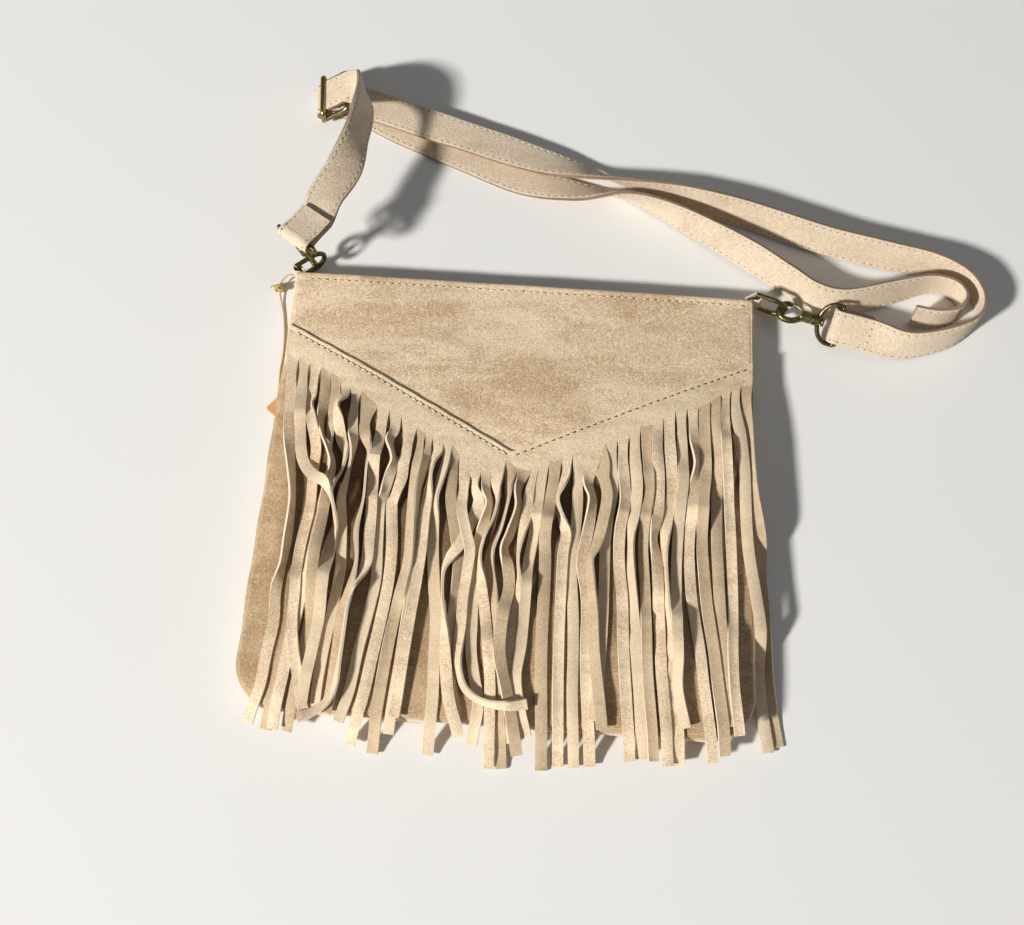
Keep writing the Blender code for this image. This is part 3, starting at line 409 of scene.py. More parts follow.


# The body suede's last two colours multiply it under the fringe: a browner under-suede with painted shade,
# darkest just below the band
BODY_SUEDE = body_material("sand_suede", (0.97, 0.78, 0.55), (0.50, 0.32, 0.17),
                           (0.23, 0.185, 0.145), (0.64, 0.585, 0.51), blotch=0.80, nap=1.25, bump=0.5)
BAND_SUEDE = suede_material("fringe_suede", (0.95, 0.765, 0.54), (0.49, 0.325, 0.18), 0.60, 1.0, 1.0, 0.5)
# Paler and deeper copies of the strip suede: painted light and painted shade, for strips facing the light
# and strips turned away from it
PALE_STRIP = suede_material("pale_strip_suede", (0.84, 0.675, 0.47), (0.50, 0.35, 0.21),
                            0.40, 0.75, 1.1, 0.5)
PAINTED_SHADE_STRIP = suede_material("painted_shade_strip_suede", (0.70, 0.535, 0.35), (0.39, 0.26, 0.145),
                            0.50, 0.85, 1.0, 0.6)
CUT_EDGE = suede_material("cut_suede_edge", (0.94, 0.82, 0.62), (0.68, 0.53, 0.36), 0.5, 0.5, 1.6)
STRAP_SUEDE = suede_material("strap_suede", (0.86, 0.71, 0.53), (0.50, 0.35, 0.22), 0.50, 1.0, 1.1, 0.7)
STRAP_EDGE = suede_material("strap_cut_edge", (0.36, 0.25, 0.17), (0.17, 0.10, 0.06), 0.8, 0.9, 1.6)
OLD_BRASS = brass_material("old_brass", (0.42, 0.34, 0.155), (0.10, 0.082, 0.036), 0.6)
DARK_BRASS = brass_material("dark_brass", (0.30, 0.245, 0.12), (0.06, 0.05, 0.027), 0.5)
CREAM_THREAD = thread_material("cream_thread", (0.90, 0.80, 0.62), (0.66, 0.54, 0.38), 900.0)
# Painted shade: near-black lenses stand for the shaded needle holes between stitches
NEEDLE_HOLE_SHADE = hole_shade_material("needle_hole", (0.085, 0.055, 0.032))
STRAP_HOLE_SHADE = hole_shade_material("strap_needle_hole", (0.20, 0.14, 0.09))
WAXED_CORD = thread_material("waxed_cord", (0.72, 0.50, 0.22), (0.42, 0.26, 0.09), 1100.0)
ZIP_TAPE = tape_material("zip_tape", (0.42, 0.30, 0.18), (0.20, 0.13, 0.07))
TAN_LEATHER = tag_material("tan_leather", (0.72, 0.38, 0.16), (0.58, 0.28, 0.11))


# Mesh helpers

def unit(vector):
    return Vector(vector).normalized()


def across(vector, axis):
    """The part of a direction that is square to an axis, at length 1."""
    vector, axis = Vector(vector), unit(axis)
    return (vector - axis * vector.dot(axis)).normalized()


def ease(share):
    share = np.clip(share, 0, 1)
    return share * share * (3 - 2 * share)


def smooth(points, steps):
    """A smooth line through points, with the same number of steps in each span."""
    points = [Vector(point) for point in points]
    ends = [points[0] * 2 - points[1], *points, points[-1] * 2 - points[-2]]
    line = []
    for a, b, c, d in zip(ends, ends[1:], ends[2:], ends[3:]):
        for step in range(steps):
            t = step / steps
            line.append(((b * 2) + (c - a) * t + (a * 2 - b * 5 + c * 4 - d) * t * t
                         + (b * 3 - a - c * 3 + d) * t ** 3) / 2)
    line.append(points[-1])
    return line


def put_in_scene(name, data):
    """An object of the bag's own body, at the frame's origin."""
    thing = bpy.data.objects.new(name, data)
    bpy.context.scene.collection.objects.link(thing)
    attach(thing, "bag")
    return thing


def add_piece(name, vertices, faces, materials, face_materials=None):
    """A smooth mesh piece of the bag's body."""
    mesh = bpy.data.meshes.new(name)
    mesh.from_pydata([tuple(v) for v in vertices], [], faces)
    for material in materials:
        mesh.materials.append(material)
    if face_materials is not None:
        mesh.polygons.foreach_set("material_index", face_materials)
    mesh.polygons.foreach_set("use_smooth", [True] * len(mesh.polygons))
    mesh.update()
    return put_in_scene(name, mesh)


def grid_faces(rows, columns, closed=False):
    """Quads of a grid of points kept row by row; closed joins the last column to the first."""
    faces = []
    for row in range(rows - 1):
        for column in range(columns if closed else columns - 1):
            after = (column + 1) % columns
            faces.append((row * columns + column, (row + 1) * columns + column,
                          (row + 1) * columns + after, row * columns + after))
    return faces


def wall(thing, thickness, offset, rim_material):
    solid = thing.modifiers.new("wall", "SOLIDIFY")
    solid.thickness = thickness
    solid.offset = offset
    solid.material_offset_rim = rim_material


def round_edges(thing, width, segments):
    bevel = thing.modifiers.new("soft_edge", "BEVEL")
    bevel.width = width
    bevel.segments = segments
    bevel.limit_method = "ANGLE"
    bevel.angle_limit = radians(50)
    return bevel


def ripple(x, y, scale, seed):
    """A gentle rise and fall in -1..1 that never repeats across the bag."""
    total = np.zeros(np.broadcast(x, y).shape)
    for index in range(5):
        turn = seed * 1.7 + index * 2.399
        wave = scale * (0.6 + 0.35 * index)
        along = x * np.cos(turn) + y * np.sin(turn)
        total = total + np.sin(along * wave + seed * 3.1 + index) / (1.5 + index)
    return total / 1.9


# Body surfaces

def half_width(y):
    return MOUTH_HALF + (FOOT_HALF - MOUTH_HALF) * (MOUTH_Y - y) / (MOUTH_Y - FOOT_Y)


def edge_distance(x, y):
    """How far points lie inside the sewn edge, which runs down the sides and along the bottom."""
    side = half_width(y) - np.abs(x)
    bottom = y - FOOT_Y
    corner = CORNER - np.hypot(CORNER - side, CORNER - bottom)
    return np.where((side < CORNER) & (bottom < CORNER), corner, np.minimum(side, bottom))


def front_top(x, y):
    """Outer face of the front panel, with its soft rise and fall."""
    x, y = np.asarray(x, float), np.asarray(y, float)
    distance = edge_distance(x, y)
    inside = np.clip(distance / CROWN_REACH, 0, 1)
    crown = MOUTH_CROWN + (FRONT_CROWN - MOUTH_CROWN) * ease((MOUTH_Y - y) / MOUTH_REACH)
    height = FRONT_EDGE_Z + SUEDE + crown * (1 - (1 - inside) ** 2)
    return height + SOFTNESS * ripple(x, y, 95, 1.0) * np.clip(distance / 0.02, 0, 1)


def back_low(x, y):
    """Outer face of the back panel."""
    outside = 1 - np.clip(edge_distance(x, y) / BACK_FLAT_FROM, 0, 1)
    return BACK_RISE * outside ** 2


def rolled(distance):
    """How far a turned edge falls away towards its seam."""
    inside = np.clip(EDGE_ROLL - distance, 0, EDGE_ROLL)
    return EDGE_ROLL - np.sqrt(np.maximum(EDGE_ROLL ** 2 - inside ** 2, 0))


EDGE_STEPS = (0, 0.00008, 0.0003, 0.0007, 0.0012, 0.0018, 0.0026, 0.0040, 0.0060, 0.0090)
INNER_FROM = 0.011


def panel_grid():
    """Points of a panel, closer together towards its edges: arrays of x and y."""
    near = np.array(EDGE_STEPS)
    corner_rows = np.linspace(0.001, CORNER - 0.010, 12)
    ys = np.concatenate([MOUTH_Y - near, np.linspace(MOUTH_Y - INNER_FROM, FOOT_Y + CORNER, 88),
                         FOOT_Y + CORNER - corner_rows, FOOT_Y + near[::-1]])
    xs = []
    for y in ys:
        into = np.clip(CORNER - (y - FOOT_Y), 0, CORNER)
        half = half_width(y) - CORNER + np.sqrt(max(CORNER ** 2 - into ** 2, 0))
        middle = np.linspace(-(half - INNER_FROM), half - INNER_FROM, 96)
        xs.append(np.concatenate([-half + near, middle, half - near[::-1]]))
    x = np.array(xs)
    return x, np.repeat(ys[:, None], x.shape[1], axis=1)


def mouth_hem(y):
    """The turned mouth edge: a soft roll, and a dip that the stitches pull along their row."""
    from_mouth = MOUTH_Y - y
    dip = 0.00035 * np.exp(-((from_mouth - MOUTH_SEAM) / 0.0011) ** 2)
    ridge = 0.00022 * np.exp(-((from_mouth - MOUTH_SEAM - 0.0045) / 0.0012) ** 2)
    return -dip - ridge


def pucker(x, y):
    """Small gathers between the stitches of the mouth seam."""
    from_mouth = MOUTH_Y - y
    near = np.exp(-((from_mouth - MOUTH_SEAM) / 0.0020) ** 2)
    return 0.00010 * near * np.cos(2 * pi * x / STITCH_PITCH)


def body_piece(name, rows, faces, thickness, offset, node):
    """A piece of the body from rows of points, with thickness and pale cut edges."""
    thing = add_piece(name, np.reshape(rows, (-1, 3)), faces, [BODY_SUEDE, CUT_EDGE])
    wall(thing, thickness, offset, 1)
    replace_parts(thing, node)


def front_piece():
    x, y = panel_grid()
    distance = np.maximum(edge_distance(x, y), 0)
    z = front_top(x, y) + mouth_hem(y) + pucker(x, y)
    z = z - rolled(distance) - rolled(MOUTH_Y - y) * MOUTH_ROLL
    body_piece("front_suede", np.stack([x, y, z], axis=-1), grid_faces(*x.shape), SUEDE, -1, "front_panel")


def back_piece():
    x, y = panel_grid()
    distance = np.maximum(edge_distance(x, y), 0)
    rise = BACK_SOFTNESS * (1 + ripple(x, y, 80, 2.3)) * np.clip(distance / 0.02, 0, 1)
    z = back_low(x, y) + rolled(distance) + rise
    seam = BACK_SEAM_DIP * np.exp(-((MOUTH_Y - y - MOUTH_SEAM) / 0.0014) ** 2)
    z = z + rolled(MOUTH_Y - y) * MOUTH_ROLL + seam
    faces = [tuple(reversed(face)) for face in grid_faces(*x.shape)]
    body_piece("back_suede", np.stack([x, y, z], axis=-1), faces, SUEDE, -1, "back_panel")


OUTLINE_STEP = 0.0025


def body_outline(inset):
    """Points down the right side, round the bottom and up the left side, with outward directions."""
    radius = CORNER - inset
    right = []
    y = MOUTH_Y - GAP
    while y > FOOT_Y + CORNER:
        right.append((half_width(y) - inset, y, 1.0, 0.0))
        y -= OUTLINE_STEP
    for angle in np.linspace(0, pi / 2, 14):
        py = FOOT_Y + inset + radius * (1 - sin(angle))
        right.append((half_width(py) - inset - radius * (1 - cos(angle)), py, cos(angle), -sin(angle)))
    low = right[-1]
    bottom = [(x, low[1], 0.0, -1.0) for x in np.linspace(low[0], -low[0], 90)[1:-1]]
    return right + bottom + [(-x, y, -nx, ny) for x, y, nx, ny in reversed(right)]


def gusset_piece():
    """The narrow side wall, bowed a little and creased where it meets the panels."""
    outline = body_outline(GUSSET_INSET)
    low = BACK_RISE + SUEDE * 0.5
    high = FRONT_EDGE_Z + SUEDE * 0.3
    shares = np.linspace(0, 1, 15)
    rows = []
    for index, (x, y, nx, ny) in enumerate(outline):
        slack = 0.00035 * sin(index * 0.41) + 0.00025 * sin(index * 0.173 + 1)
        row = []
        for share in shares:
            bow = 0.0005 * sin(pi * share) + slack * sin(2 * pi * share) - 0.0009 * (2 * share - 1) ** 8
            row.append((x + nx * bow, y + ny * bow, high + (low - high) * share))
        rows.append(row)
    faces = grid_faces(len(outline), len(shares))
    body_piece("gusset_suede", rows, faces, GUSSET_SUEDE, 1, "gusset")


# Fringe. The slit tops and the lines of the strips are pixels of the photograph.

SLITS = (
    (298, 354), (310, 359), (321, 366), (331, 372), (341, 379), (351, 386), (362, 392), (378, 407),
    (390, 411), (402, 416), (417, 429), (426, 435), (433, 439), (444, 442), (453, 446), (460, 457),
    (470, 474), (481, 473), (491, 472), (506, 461), (518, 470), (531, 473), (539, 469), (549, 465),
    (562, 461), (573, 456), (584, 469), (597, 469), (605, 443), (617, 440), (629, 436), (640, 429),
    (652, 426), (663, 419), (675, 412), (687, 409), (698, 408), (710, 402), (721, 394), (731, 389),
    (741, 385),
)
SLIT_HEIGHT = 0.022

# Each strip: when it is laid (0 first), then its stops as pixel x, pixel y and turn in degrees.
STRIPS = (
    (1, ((290, 390, 10), (288, 430, 20), (291, 470, 50), (292, 500, 70), (287, 540, 60), (282, 565, 70),
         (275, 590, 15), (273, 620, 5), (266, 650, 0), (258, 685, 0), (245, 719, 0))),
    (3, ((301, 400, 0), (300, 440, 0), (304, 462, 10), (316, 480, 0), (329, 492, 35), (335, 508, 78),
         (336, 526, 60), (331, 545, 25), (323, 595, 0), (320, 615, 0), (312, 650, 0), (305, 680, 0),
         (301, 706, 0))),
    (2, ((312, 390, 10), (309, 403, 55), (312, 420, 15), (316, 445, 0), (313, 470, 0), (310, 507, 0),
         (304, 532, 0), (299, 557, 0), (296, 594, 0), (293, 620, 0), (294, 650, 0), (299, 685, -5),
         (304, 716, 0))),
    (1, ((324, 400, 10), (321, 420, 60), (323, 436, 80), (331, 456, 75), (333, 470, 70), (328, 500, 30),
         (322, 530, 15), (316, 560, 5), (310, 615, 0), (303, 650, 0), (293, 690, 0), (285, 729, 0))),
    (0, ((335, 400, 15), (331, 430, 40), (330, 455, 70), (327, 480, 60), (318, 520, 40), (306, 560, 60),
         (296, 600, 20), (286, 645, 10), (275, 682, 10), (264, 727, 0))),
    (0, ((345, 395, 15), (338, 408, 65), (340, 425, 10), (342, 440, 0), (346, 452, 60), (343, 470, 80),
         (335, 485, 70), (326, 510, 40), (318, 545, 20), (308, 580, 30), (298, 612, 20), (289, 645, 0),
         (281, 680, 0), (272, 728, 0))),
    (1, ((354, 410, 10), (353, 425, 0), (354, 445, 50), (352, 460, 82), (348, 478, 80), (342, 500, 50),
         (342, 530, 10), (340, 570, 0), (331, 615, 0), (323, 650, 0), (317, 680, 0), (314, 712, 0))),
    (1, ((366, 418, 0), (365, 430, 0), (367, 440, 40), (370, 452, 80), (367, 470, 85), (364, 500, 75),
         (357, 530, 60), (357, 560, 80), (350, 590, 50), (342, 615, 15), (337, 650, 0), (330, 690, 10),
         (325, 713, 0))),
    (3, ((381, 430, 0), (377, 455, 0), (374, 475, 0), (372, 510, 0), (369, 545, 0), (367, 563, 20),
         (359, 584, 75), (350, 602, 80), (346, 625, 70), (340, 660, 65), (335, 685, 55), (326, 703, 50),
         (311, 714, 40), (298, 719, 20))),
    (2, ((395, 430, 0), (390, 441, 50), (393, 455, 75), (394, 465, 70), (389, 480, 20), (384, 497, 55),
         (380, 508, 0), (378, 545, 0), (376, 580, 0), (368, 615, 0), (358, 650, 0), (348, 690, 0),
         (338, 721, 0))),
    (1, ((408, 445, 0), (404, 465, 0), (402, 480, 0), (396, 497, 40), (392, 508, 0), (392, 545, 0),
         (389, 580, 0), (382, 615, 0), (372, 655, 0), (361, 700, 0), (348, 742, 0))),
    (1, ((420, 450, 15), (417, 470, 35), (413, 495, 60), (411, 530, 40), (409, 560, 30), (403, 585, 20),
         (395, 615, 0), (387, 650, 0), (379, 690, 0), (371, 751, 0))),
    (0, ((427, 455, 20), (422, 475, 45), (418, 495, 60), (417, 525, 70), (415, 560, 60), (409, 600, 40),
         (403, 640, 20), (396, 680, 10), (388, 733, 0))),
    (2, ((438, 452, 20), (433, 464, 60), (430, 480, 75), (428, 497, 20), (425, 520, 0), (422, 550, 0),
         (417, 582, 0), (411, 615, 0), (404, 655, 0), (398, 690, 0), (394, 718, 0))),
    (1, ((446, 462, 35), (441, 480, 40), (436, 500, 60), (434, 520, 15), (433, 550, 0), (434, 585, 0),
         (436, 620, 0), (434, 660, 0), (432, 700, 0), (427, 753, 0))),
    (0, ((453, 475, 20), (451, 500, 10), (455, 530, 5), (458, 560, 15), (456, 590, 30), (452, 620, 40),
         (449, 650, 20), (450, 680, 10), (456, 716, 0))),
    (4, ((464, 488, 10), (462, 510, 5), (466, 532, 5), (470, 552, 0), (467, 575, 0), (463, 600, 0),
         (461, 625, 0), (458, 650, 30), (458, 668, 60), (463, 685, 70), (474, 698, 75), (490, 706, 70),
         (508, 709, 45), (527, 706, 15))),
    (3, ((475, 488, 50), (479, 500, 25), (477, 510, 0), (470, 525, 0), (461, 545, 0), (451, 558, 25),
         (444, 572, 70), (443, 600, 82), (445, 630, 60), (446, 665, 20), (449, 700, 0), (459, 737, 0))),
    (1, ((486, 490, 30), (489, 505, 60), (484, 525, 40), (478, 545, 20), (475, 560, 50), (473, 590, 0),
         (472, 620, 0), (471, 650, 0), (474, 675, 0), (478, 705, 10), (471, 744, 0))),
    (2, ((497, 485, 30), (498, 502, 75), (493, 522, 80), (484, 542, 80), (480, 562, 85), (482, 585, 40),
         (485, 615, 0), (488, 650, 0), (490, 690, 0), (488, 767, 0))),
    (1, ((509, 485, 40), (507, 505, 75), (500, 530, 75), (491, 550, 60), (489, 568, 30), (492, 590, 20),
         (495, 612, 60), (494, 640, 75), (493, 670, 60), (498, 705, 20), (501, 767, 0))),
    (2, ((518, 490, 50), (518, 510, 60), (510, 535, 45), (504, 550, 55), (508, 568, 10), (509, 588, 0),
         (504, 612, 0), (500, 640, 0), (500, 662, 10), (506, 690, 20), (517, 757, 0))),
    (1, ((529, 495, 10), (527, 515, 15), (521, 540, 60), (518, 560, 80), (519, 580, 70), (515, 605, 15),
         (511, 635, 0), (508, 665, 0), (510, 695, 10), (512, 744, 0))),
    (1, ((540, 490, 10), (537, 515, 15), (533, 540, 10), (528, 565, 0), (526, 590, 0), (524, 615, 0),
         (521, 645, 0), (516, 675, 5), (519, 705, 15), (526, 738, 10))),
    (2, ((553, 485, 0), (549, 510, 0), (545, 535, 0), (545, 560, 0), (544, 590, 0), (542, 630, 0),
         (541, 680, 0), (541, 769, 0))),
    (2, ((566, 475, 20), (561, 490, 60), (557, 502, 80), (561, 520, 70), (566, 535, 20), (563, 555, 5),
         (561, 590, 0), (559, 640, 0), (558, 700, 0), (558, 765, 0))),
    (1, ((578, 480, 10), (577, 510, 0), (574, 540, 0), (571, 565, 0), (572, 590, 0), (573, 615, 0),
         (573, 650, 0), (572, 700, 0), (574, 766, 0))),
    (1, ((588, 485, 30), (592, 500, 45), (590, 520, 30), (585, 545, 20), (582, 565, 20), (586, 592, 10),
         (587, 615, 0), (586, 650, 0), (587, 700, 0), (590, 765, 0))),
    (2, ((603, 475, 15), (607, 497, 10), (602, 525, 0), (596, 548, 30), (590, 562, 70), (591, 585, 60),
         (593, 615, 40), (594, 650, 20), (598, 690, 5), (601, 732, 0))),
    (1, ((612, 465, 0), (613, 490, 0), (608, 520, 0), (605, 545, 0), (604, 580, 0), (603, 615, 0),
         (601, 650, 0), (598, 685, 0), (592, 722, 0))),
    (2, ((623, 465, 5), (625, 500, 15), (620, 530, 10), (619, 560, 0), (622, 600, 0), (623, 640, 0),
         (626, 690, 0), (629, 762, 0))),
    (1, ((635, 460, 10), (637, 490, 25), (634, 515, 15), (631, 540, 60), (631, 570, 50), (633, 610, 30),
         (637, 660, 5), (640, 700, 0), (641, 759, 0))),
    (2, ((647, 455, 0), (649, 490, 5), (645, 520, 0), (643, 550, 10), (645, 590, 0), (646, 630, 0),
         (648, 680, 0), (653, 762, 0))),
    (1, ((657, 450, 20), (659, 480, 0), (658, 510, 0), (653, 538, 50), (656, 560, 15), (658, 600, 0),
         (660, 640, 0), (662, 680, 0), (667, 767, 0))),
    (0, ((670, 445, 0), (672, 490, 0), (667, 520, 10), (664, 550, 70), (665, 590, 60), (670, 630, 70),
         (673, 660, 20), (675, 690, 0), (679, 765, 0))),
    (1, ((682, 440, 0), (683, 480, 0), (680, 510, 0), (677, 550, 0), (676, 590, 0), (676, 630, 0),
         (678, 660, 30), (678, 690, 30), (684, 731, 10))),
    (2, ((694, 435, 10), (696, 465, 60), (694, 485, 25), (692, 510, 0), (689, 550, 0), (691, 590, 0),
         (695, 620, 0), (700, 650, 0), (705, 690, 0), (712, 763, 0))),
    (2, ((705, 435, 5), (706, 470, 0), (703, 500, 0), (702, 540, 0), (704, 570, 0), (708, 610, 0),
         (714, 650, 0), (719, 690, 0), (724, 757, 0))),
    (1, ((716, 425, 10), (718, 460, 40), (717, 500, 0), (717, 540, 0), (719, 580, 0), (721, 615, 0),
         (724, 645, 10), (726, 680, 20), (730, 728, 0))),
    (1, ((726, 420, 20), (726, 450, 0), (728, 480, 0), (731, 520, 0), (733, 570, 0), (734, 615, 0),
         (733, 650, 0), (735, 690, 15), (738, 738, 0))),
    (1, ((737, 410, 0), (741, 435, 0), (745, 470, 0), (747, 510, 0), (750, 550, 0), (757, 590, 0),
         (762, 620, 0), (765, 660, 0), (767, 700, 0), (770, 751, 0))),
    (0, ((748, 410, 20), (751, 450, 40), (755, 490, 30), (762, 530, 10), (768, 570, 5), (772, 620, 20),
         (775, 670, 30), (778, 710, 10), (781, 744, 0))),
)

# Which finish each strip takes: 0 as the band, 1 paler, 2 deeper. These are lit and shaded copies of one
# suede, painted light and painted shade for strips that face the light and strips turned away from it
STRIP_LIT_AND_SHADED = (0, 1, 0, 2, 2, 0, 1, 2, 0, 1, 0, 2, 1, 0, 1, 2, 0)


def v_edge(x):
    """Height of the fringe's V-shaped upper edge."""
    end = V_RIGHT_Y if x > 0 else V_LEFT_Y
    return V_APEX_Y + (end - V_APEX_Y) * abs(x) / half_width(end)


def band_under(x, y):
    """Underside of the fringe layer where it lies on the front."""
    return front_top(x, y) + FRINGE_REST


class LayingGround:
    """The height of all that has been laid so far, on a fine grid."""

    def __init__(self):
        self.low = np.array(LAY_LOW)
        self.size = LAY_CELLS
        x = self.low[0] + LAY_CELL * np.arange(self.size[0])[:, None]
        y = self.low[1] + LAY_CELL * np.arange(self.size[1])[None, :]
        x, y = np.broadcast_arrays(x, y)
        inside = edge_distance(x, y) > 0
        self.top = np.where(inside & (y < MOUTH_Y), band_under(x, y) - 0.0002, 0.0)

    def cells(self, points):
        index = np.rint((points - self.low) / LAY_CELL).astype(int)
        return np.clip(index[..., 0], 0, self.size[0] - 1), np.clip(index[..., 1], 0, self.size[1] - 1)

    def read(self, points):
        return self.top[self.cells(points)]

    def cover(self, points, heights):
        np.maximum.at(self.top, self.cells(points), heights)


def spaced(points, step):
    """Points along a line at even distances, with their values beside them."""
    flat = np.array([[p[0], p[1], p[2]] for p in points])
    along = np.concatenate([[0], np.cumsum(np.hypot(*np.diff(flat[:, :2], axis=0).T))])
    count = max(8, int(round(along[-1] / step)))
    at = np.linspace(0, along[-1], count + 1)
    return np.stack([np.interp(at, along, flat[:, k]) for k in range(3)], axis=1), at


def soften(values, reach):
    """A running mean that keeps the ends."""
    window = np.hanning(2 * reach + 3)[1:-1]
    padded = np.pad(values, reach, mode="edge")
    return np.convolve(padded, window / window.sum(), mode="valid")


# Height at which the stops lie, and how it falls to the floor below the bag's foot, by pixel row
STOP_HEIGHT = 0.024
STOP_FALL = 0.018
FALL_FROM_PIXEL = 690
FALL_PIXELS = 70


def strip_route(stops):
    """A strip's stops on the bag: x, y and turn."""
    line = []
    for px, py, turn in stops:
        height = STOP_HEIGHT
        if py >= FALL_FROM_PIXEL:
            height = STOP_HEIGHT - STOP_FALL * min((py - FALL_FROM_PIXEL) / FALL_PIXELS, 1)
        place = photo_point(px, py, height)
        line.append((place.x, place.y, radians(turn)))
    return line


def strip_widths(index, at, opening, neck):
    """Width along a strip: its share of the band at the top, then its own width, less the open slit."""
    own = STRIP_WIDTH * (1 + STRIP_WIDTH_VARIES * sin(index * 1.9))
    width = opening * (1 - neck) + own * neck
    slit = SLIT_GAP * (1 + SLIT_VARIES * sin(index * 1.3)) * (WIDE_SLIT if index < WIDE_SLITS else 1.0)
    return width - (slit * ease(at / SLIT_OPENS) * (1 - ease((at - SLIT_OPENS) / NECK)))[:, None]


def strip_turn(index, at, turn):
    """How far a strip is turned on edge along its length, with a gentle sway."""
    turn = turn * (1 if index % 3 else -1)
    turn = soften(turn, 3) * ease(at / SLIT_OPENS)
    return turn + SWAY * np.sin(at * SWAY_PACE + index * 1.3) * ease(at / SWAY_FROM)


def laid_height(index, at, needed, start_height):
    """Height along a strip: over all that lies under it, falling no steeper than limp suede does."""
    distance = np.abs(at[:, None] - at[None, :])
    cone = (needed[None, :] - DRAPE_SLOPE * np.maximum(distance - 0.002, 0)).max(axis=1)
    height = np.maximum(soften(cone, 4), needed)
    height = np.maximum(soften(height, 2), needed - 0.0003)
    height = height + LOOSE_LIFT * (1 + sin(index * 2.1)) * np.sin(np.clip(at / LOOSE_REACH, 0, 1) * pi) ** 2
    leaving = ease(at / BAND_LEAVES)
    return start_height * (1 - leaving) + height * leaving


def strip_piece(ground, start_left, start_right, stops, index):
    """Rows of points across one strip, laid on what is already there."""
    start = (start_left + start_right) / 2
    line = [(start.x, start.y, 0.0)] + strip_route(stops)
    rows, at = spaced(smooth([Vector(stop) for stop in line], 10), STRIP_ROW)
    ahead = np.gradient(rows[:, :2], axis=0)
    ahead = ahead / np.linalg.norm(ahead, axis=1, keepdims=True)
    side = np.stack([-ahead[:, 1], ahead[:, 0]], axis=1)
    neck = ease(at / NECK)[:, None]
    opening = np.array([start_right.x - start_left.x, start_right.y - start_left.y])
    width = strip_widths(index, at, np.linalg.norm(opening), neck)
    side = (opening / np.linalg.norm(opening)) * (1 - neck) + side * neck
    side = side / np.linalg.norm(side, axis=1, keepdims=True)
    turn = strip_turn(index, at, rows[:, 2])
    shares = np.linspace(-0.5, 0.5, STRIP_CELLS + 1)
    cup = CUP * sin(index * 2.7) * (1 - 4 * shares[None, :] ** 2) * neck
    lateral = width * np.cos(turn)[:, None] * shares[None, :]
    rise = width * np.sin(turn)[:, None] * shares[None, :] + cup
    lateral = lateral - cup * np.sin(turn)[:, None]
    flat = rows[:, None, :2] + side[:, None, :] * lateral[:, :, None]
    spreads = ease((at - SPREAD_FROM) / SPREAD_OVER)
    apart = READ_NEAR_BAND + (1 - READ_NEAR_BAND) * spreads[:, None, None]
    felt = rows[:, None, :2] + (flat - rows[:, None, :2]) * apart
    needed = (ground.read(felt) - rise).max(axis=1) + FRINGE / 2 + LAY_GAP
    height = laid_height(index, at, needed, float(band_under(start.x, start.y)) + FRINGE / 2)
    for offset in np.linspace(-0.45, 0.45, 9):
        reach = offset * (COVER_NEAR_BAND + (1 - COVER_NEAR_BAND) * spreads)
        spot = rows[:, :2] + side * width * (np.cos(turn) * reach)[:, None]
        ground.cover(spot, height + width[:, 0] * np.sin(turn) * reach + FRINGE / 2)
    z = height[:, None] + rise
    return np.concatenate([flat, z[:, :, None]], axis=2)


def fringe_piece():
    """The band along the V and its strips, as one layer with pale cut edges."""
    ground = LayingGround()
    slits = [photo_point(x, y, SLIT_HEIGHT) for x, y in SLITS]
    left_end = Vector((-half_width(V_LEFT_Y) + FRINGE_INSIDE, slits[0].y + 0.003, 0))
    right_end = Vector((half_width(V_RIGHT_Y) - FRINGE_INSIDE, slits[-1].y + 0.002, 0))
    tops = [left_end, *slits, right_end]
    vertices = []
    columns = [a.lerp(b, cell / STRIP_CELLS) for a, b in zip(tops, tops[1:]) for cell in range(STRIP_CELLS)]
    columns.append(tops[-1])
    for share in BAND_STEPS:
        for place in columns:
            top = v_edge(place.x) + 0.00018 * sin(place.x * 410) * (1 - share)
            y = top * (1 - share) + place.y * share
            sewn = 0.0004 * np.exp(-((v_edge(place.x) - V_SEAM - y) / 0.0011) ** 2)
            z = float(band_under(place.x, y)) + FRINGE / 2 - sewn
            vertices.append((place.x, y, z))
    faces = grid_faces(len(BAND_STEPS), len(columns))
    kinds = [0] * len(faces)
    base = (len(BAND_STEPS) - 1) * len(columns)
    order = sorted(range(len(STRIPS)), key=lambda item: (STRIPS[item][0], item))
    for index in order:
        rows = strip_piece(ground, tops[index], tops[index + 1], STRIPS[index][1], index)
        above = [base + index * STRIP_CELLS + cell for cell in range(STRIP_CELLS + 1)]
        for row in rows[1:]:
            here = list(range(len(vertices), len(vertices) + STRIP_CELLS + 1))
            vertices += [tuple(point) for point in row]
            for cell in range(STRIP_CELLS):
                faces.append((above[cell], here[cell], here[cell + 1], above[cell + 1]))
                kinds.append(STRIP_LIT_AND_SHADED[index % len(STRIP_LIT_AND_SHADED)])
            above = here
    finishes = [BAND_SUEDE, PALE_STRIP, PAINTED_SHADE_STRIP, CUT_EDGE]
    thing = add_piece("fringe_layer", vertices, faces, finishes, kinds)
    wall(thing, FRINGE, 0, 3)
    edge = round_edges(thing, FRINGE_EDGE, 1)
    edge.material = 3
    edge.harden_normals = True
    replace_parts(thing, "fringe_panel")


# Stitches

def stitch_shapes(place, along, out, length, radius):
    """One stitch as a low bead of thread: its points and faces."""
    side = along.cross(out).normalized()
    points = []
    stations = ((-0.5, 0.0), (-0.42, 0.75), (-0.2, 1.0), (0.2, 1.0), (0.42, 0.75), (0.5, 0.0))
    for at, swell in stations:
        middle = place + along * at * length + out * radius * (0.55 * swell - 0.35)
        for step in range(6):
            angle = 2 * pi * step / 6
            points.append(middle + (side * cos(angle) + out * sin(angle)) * radius * max(swell, 0.15))
    faces = grid_faces(len(stations), 6, True)
    return points, faces


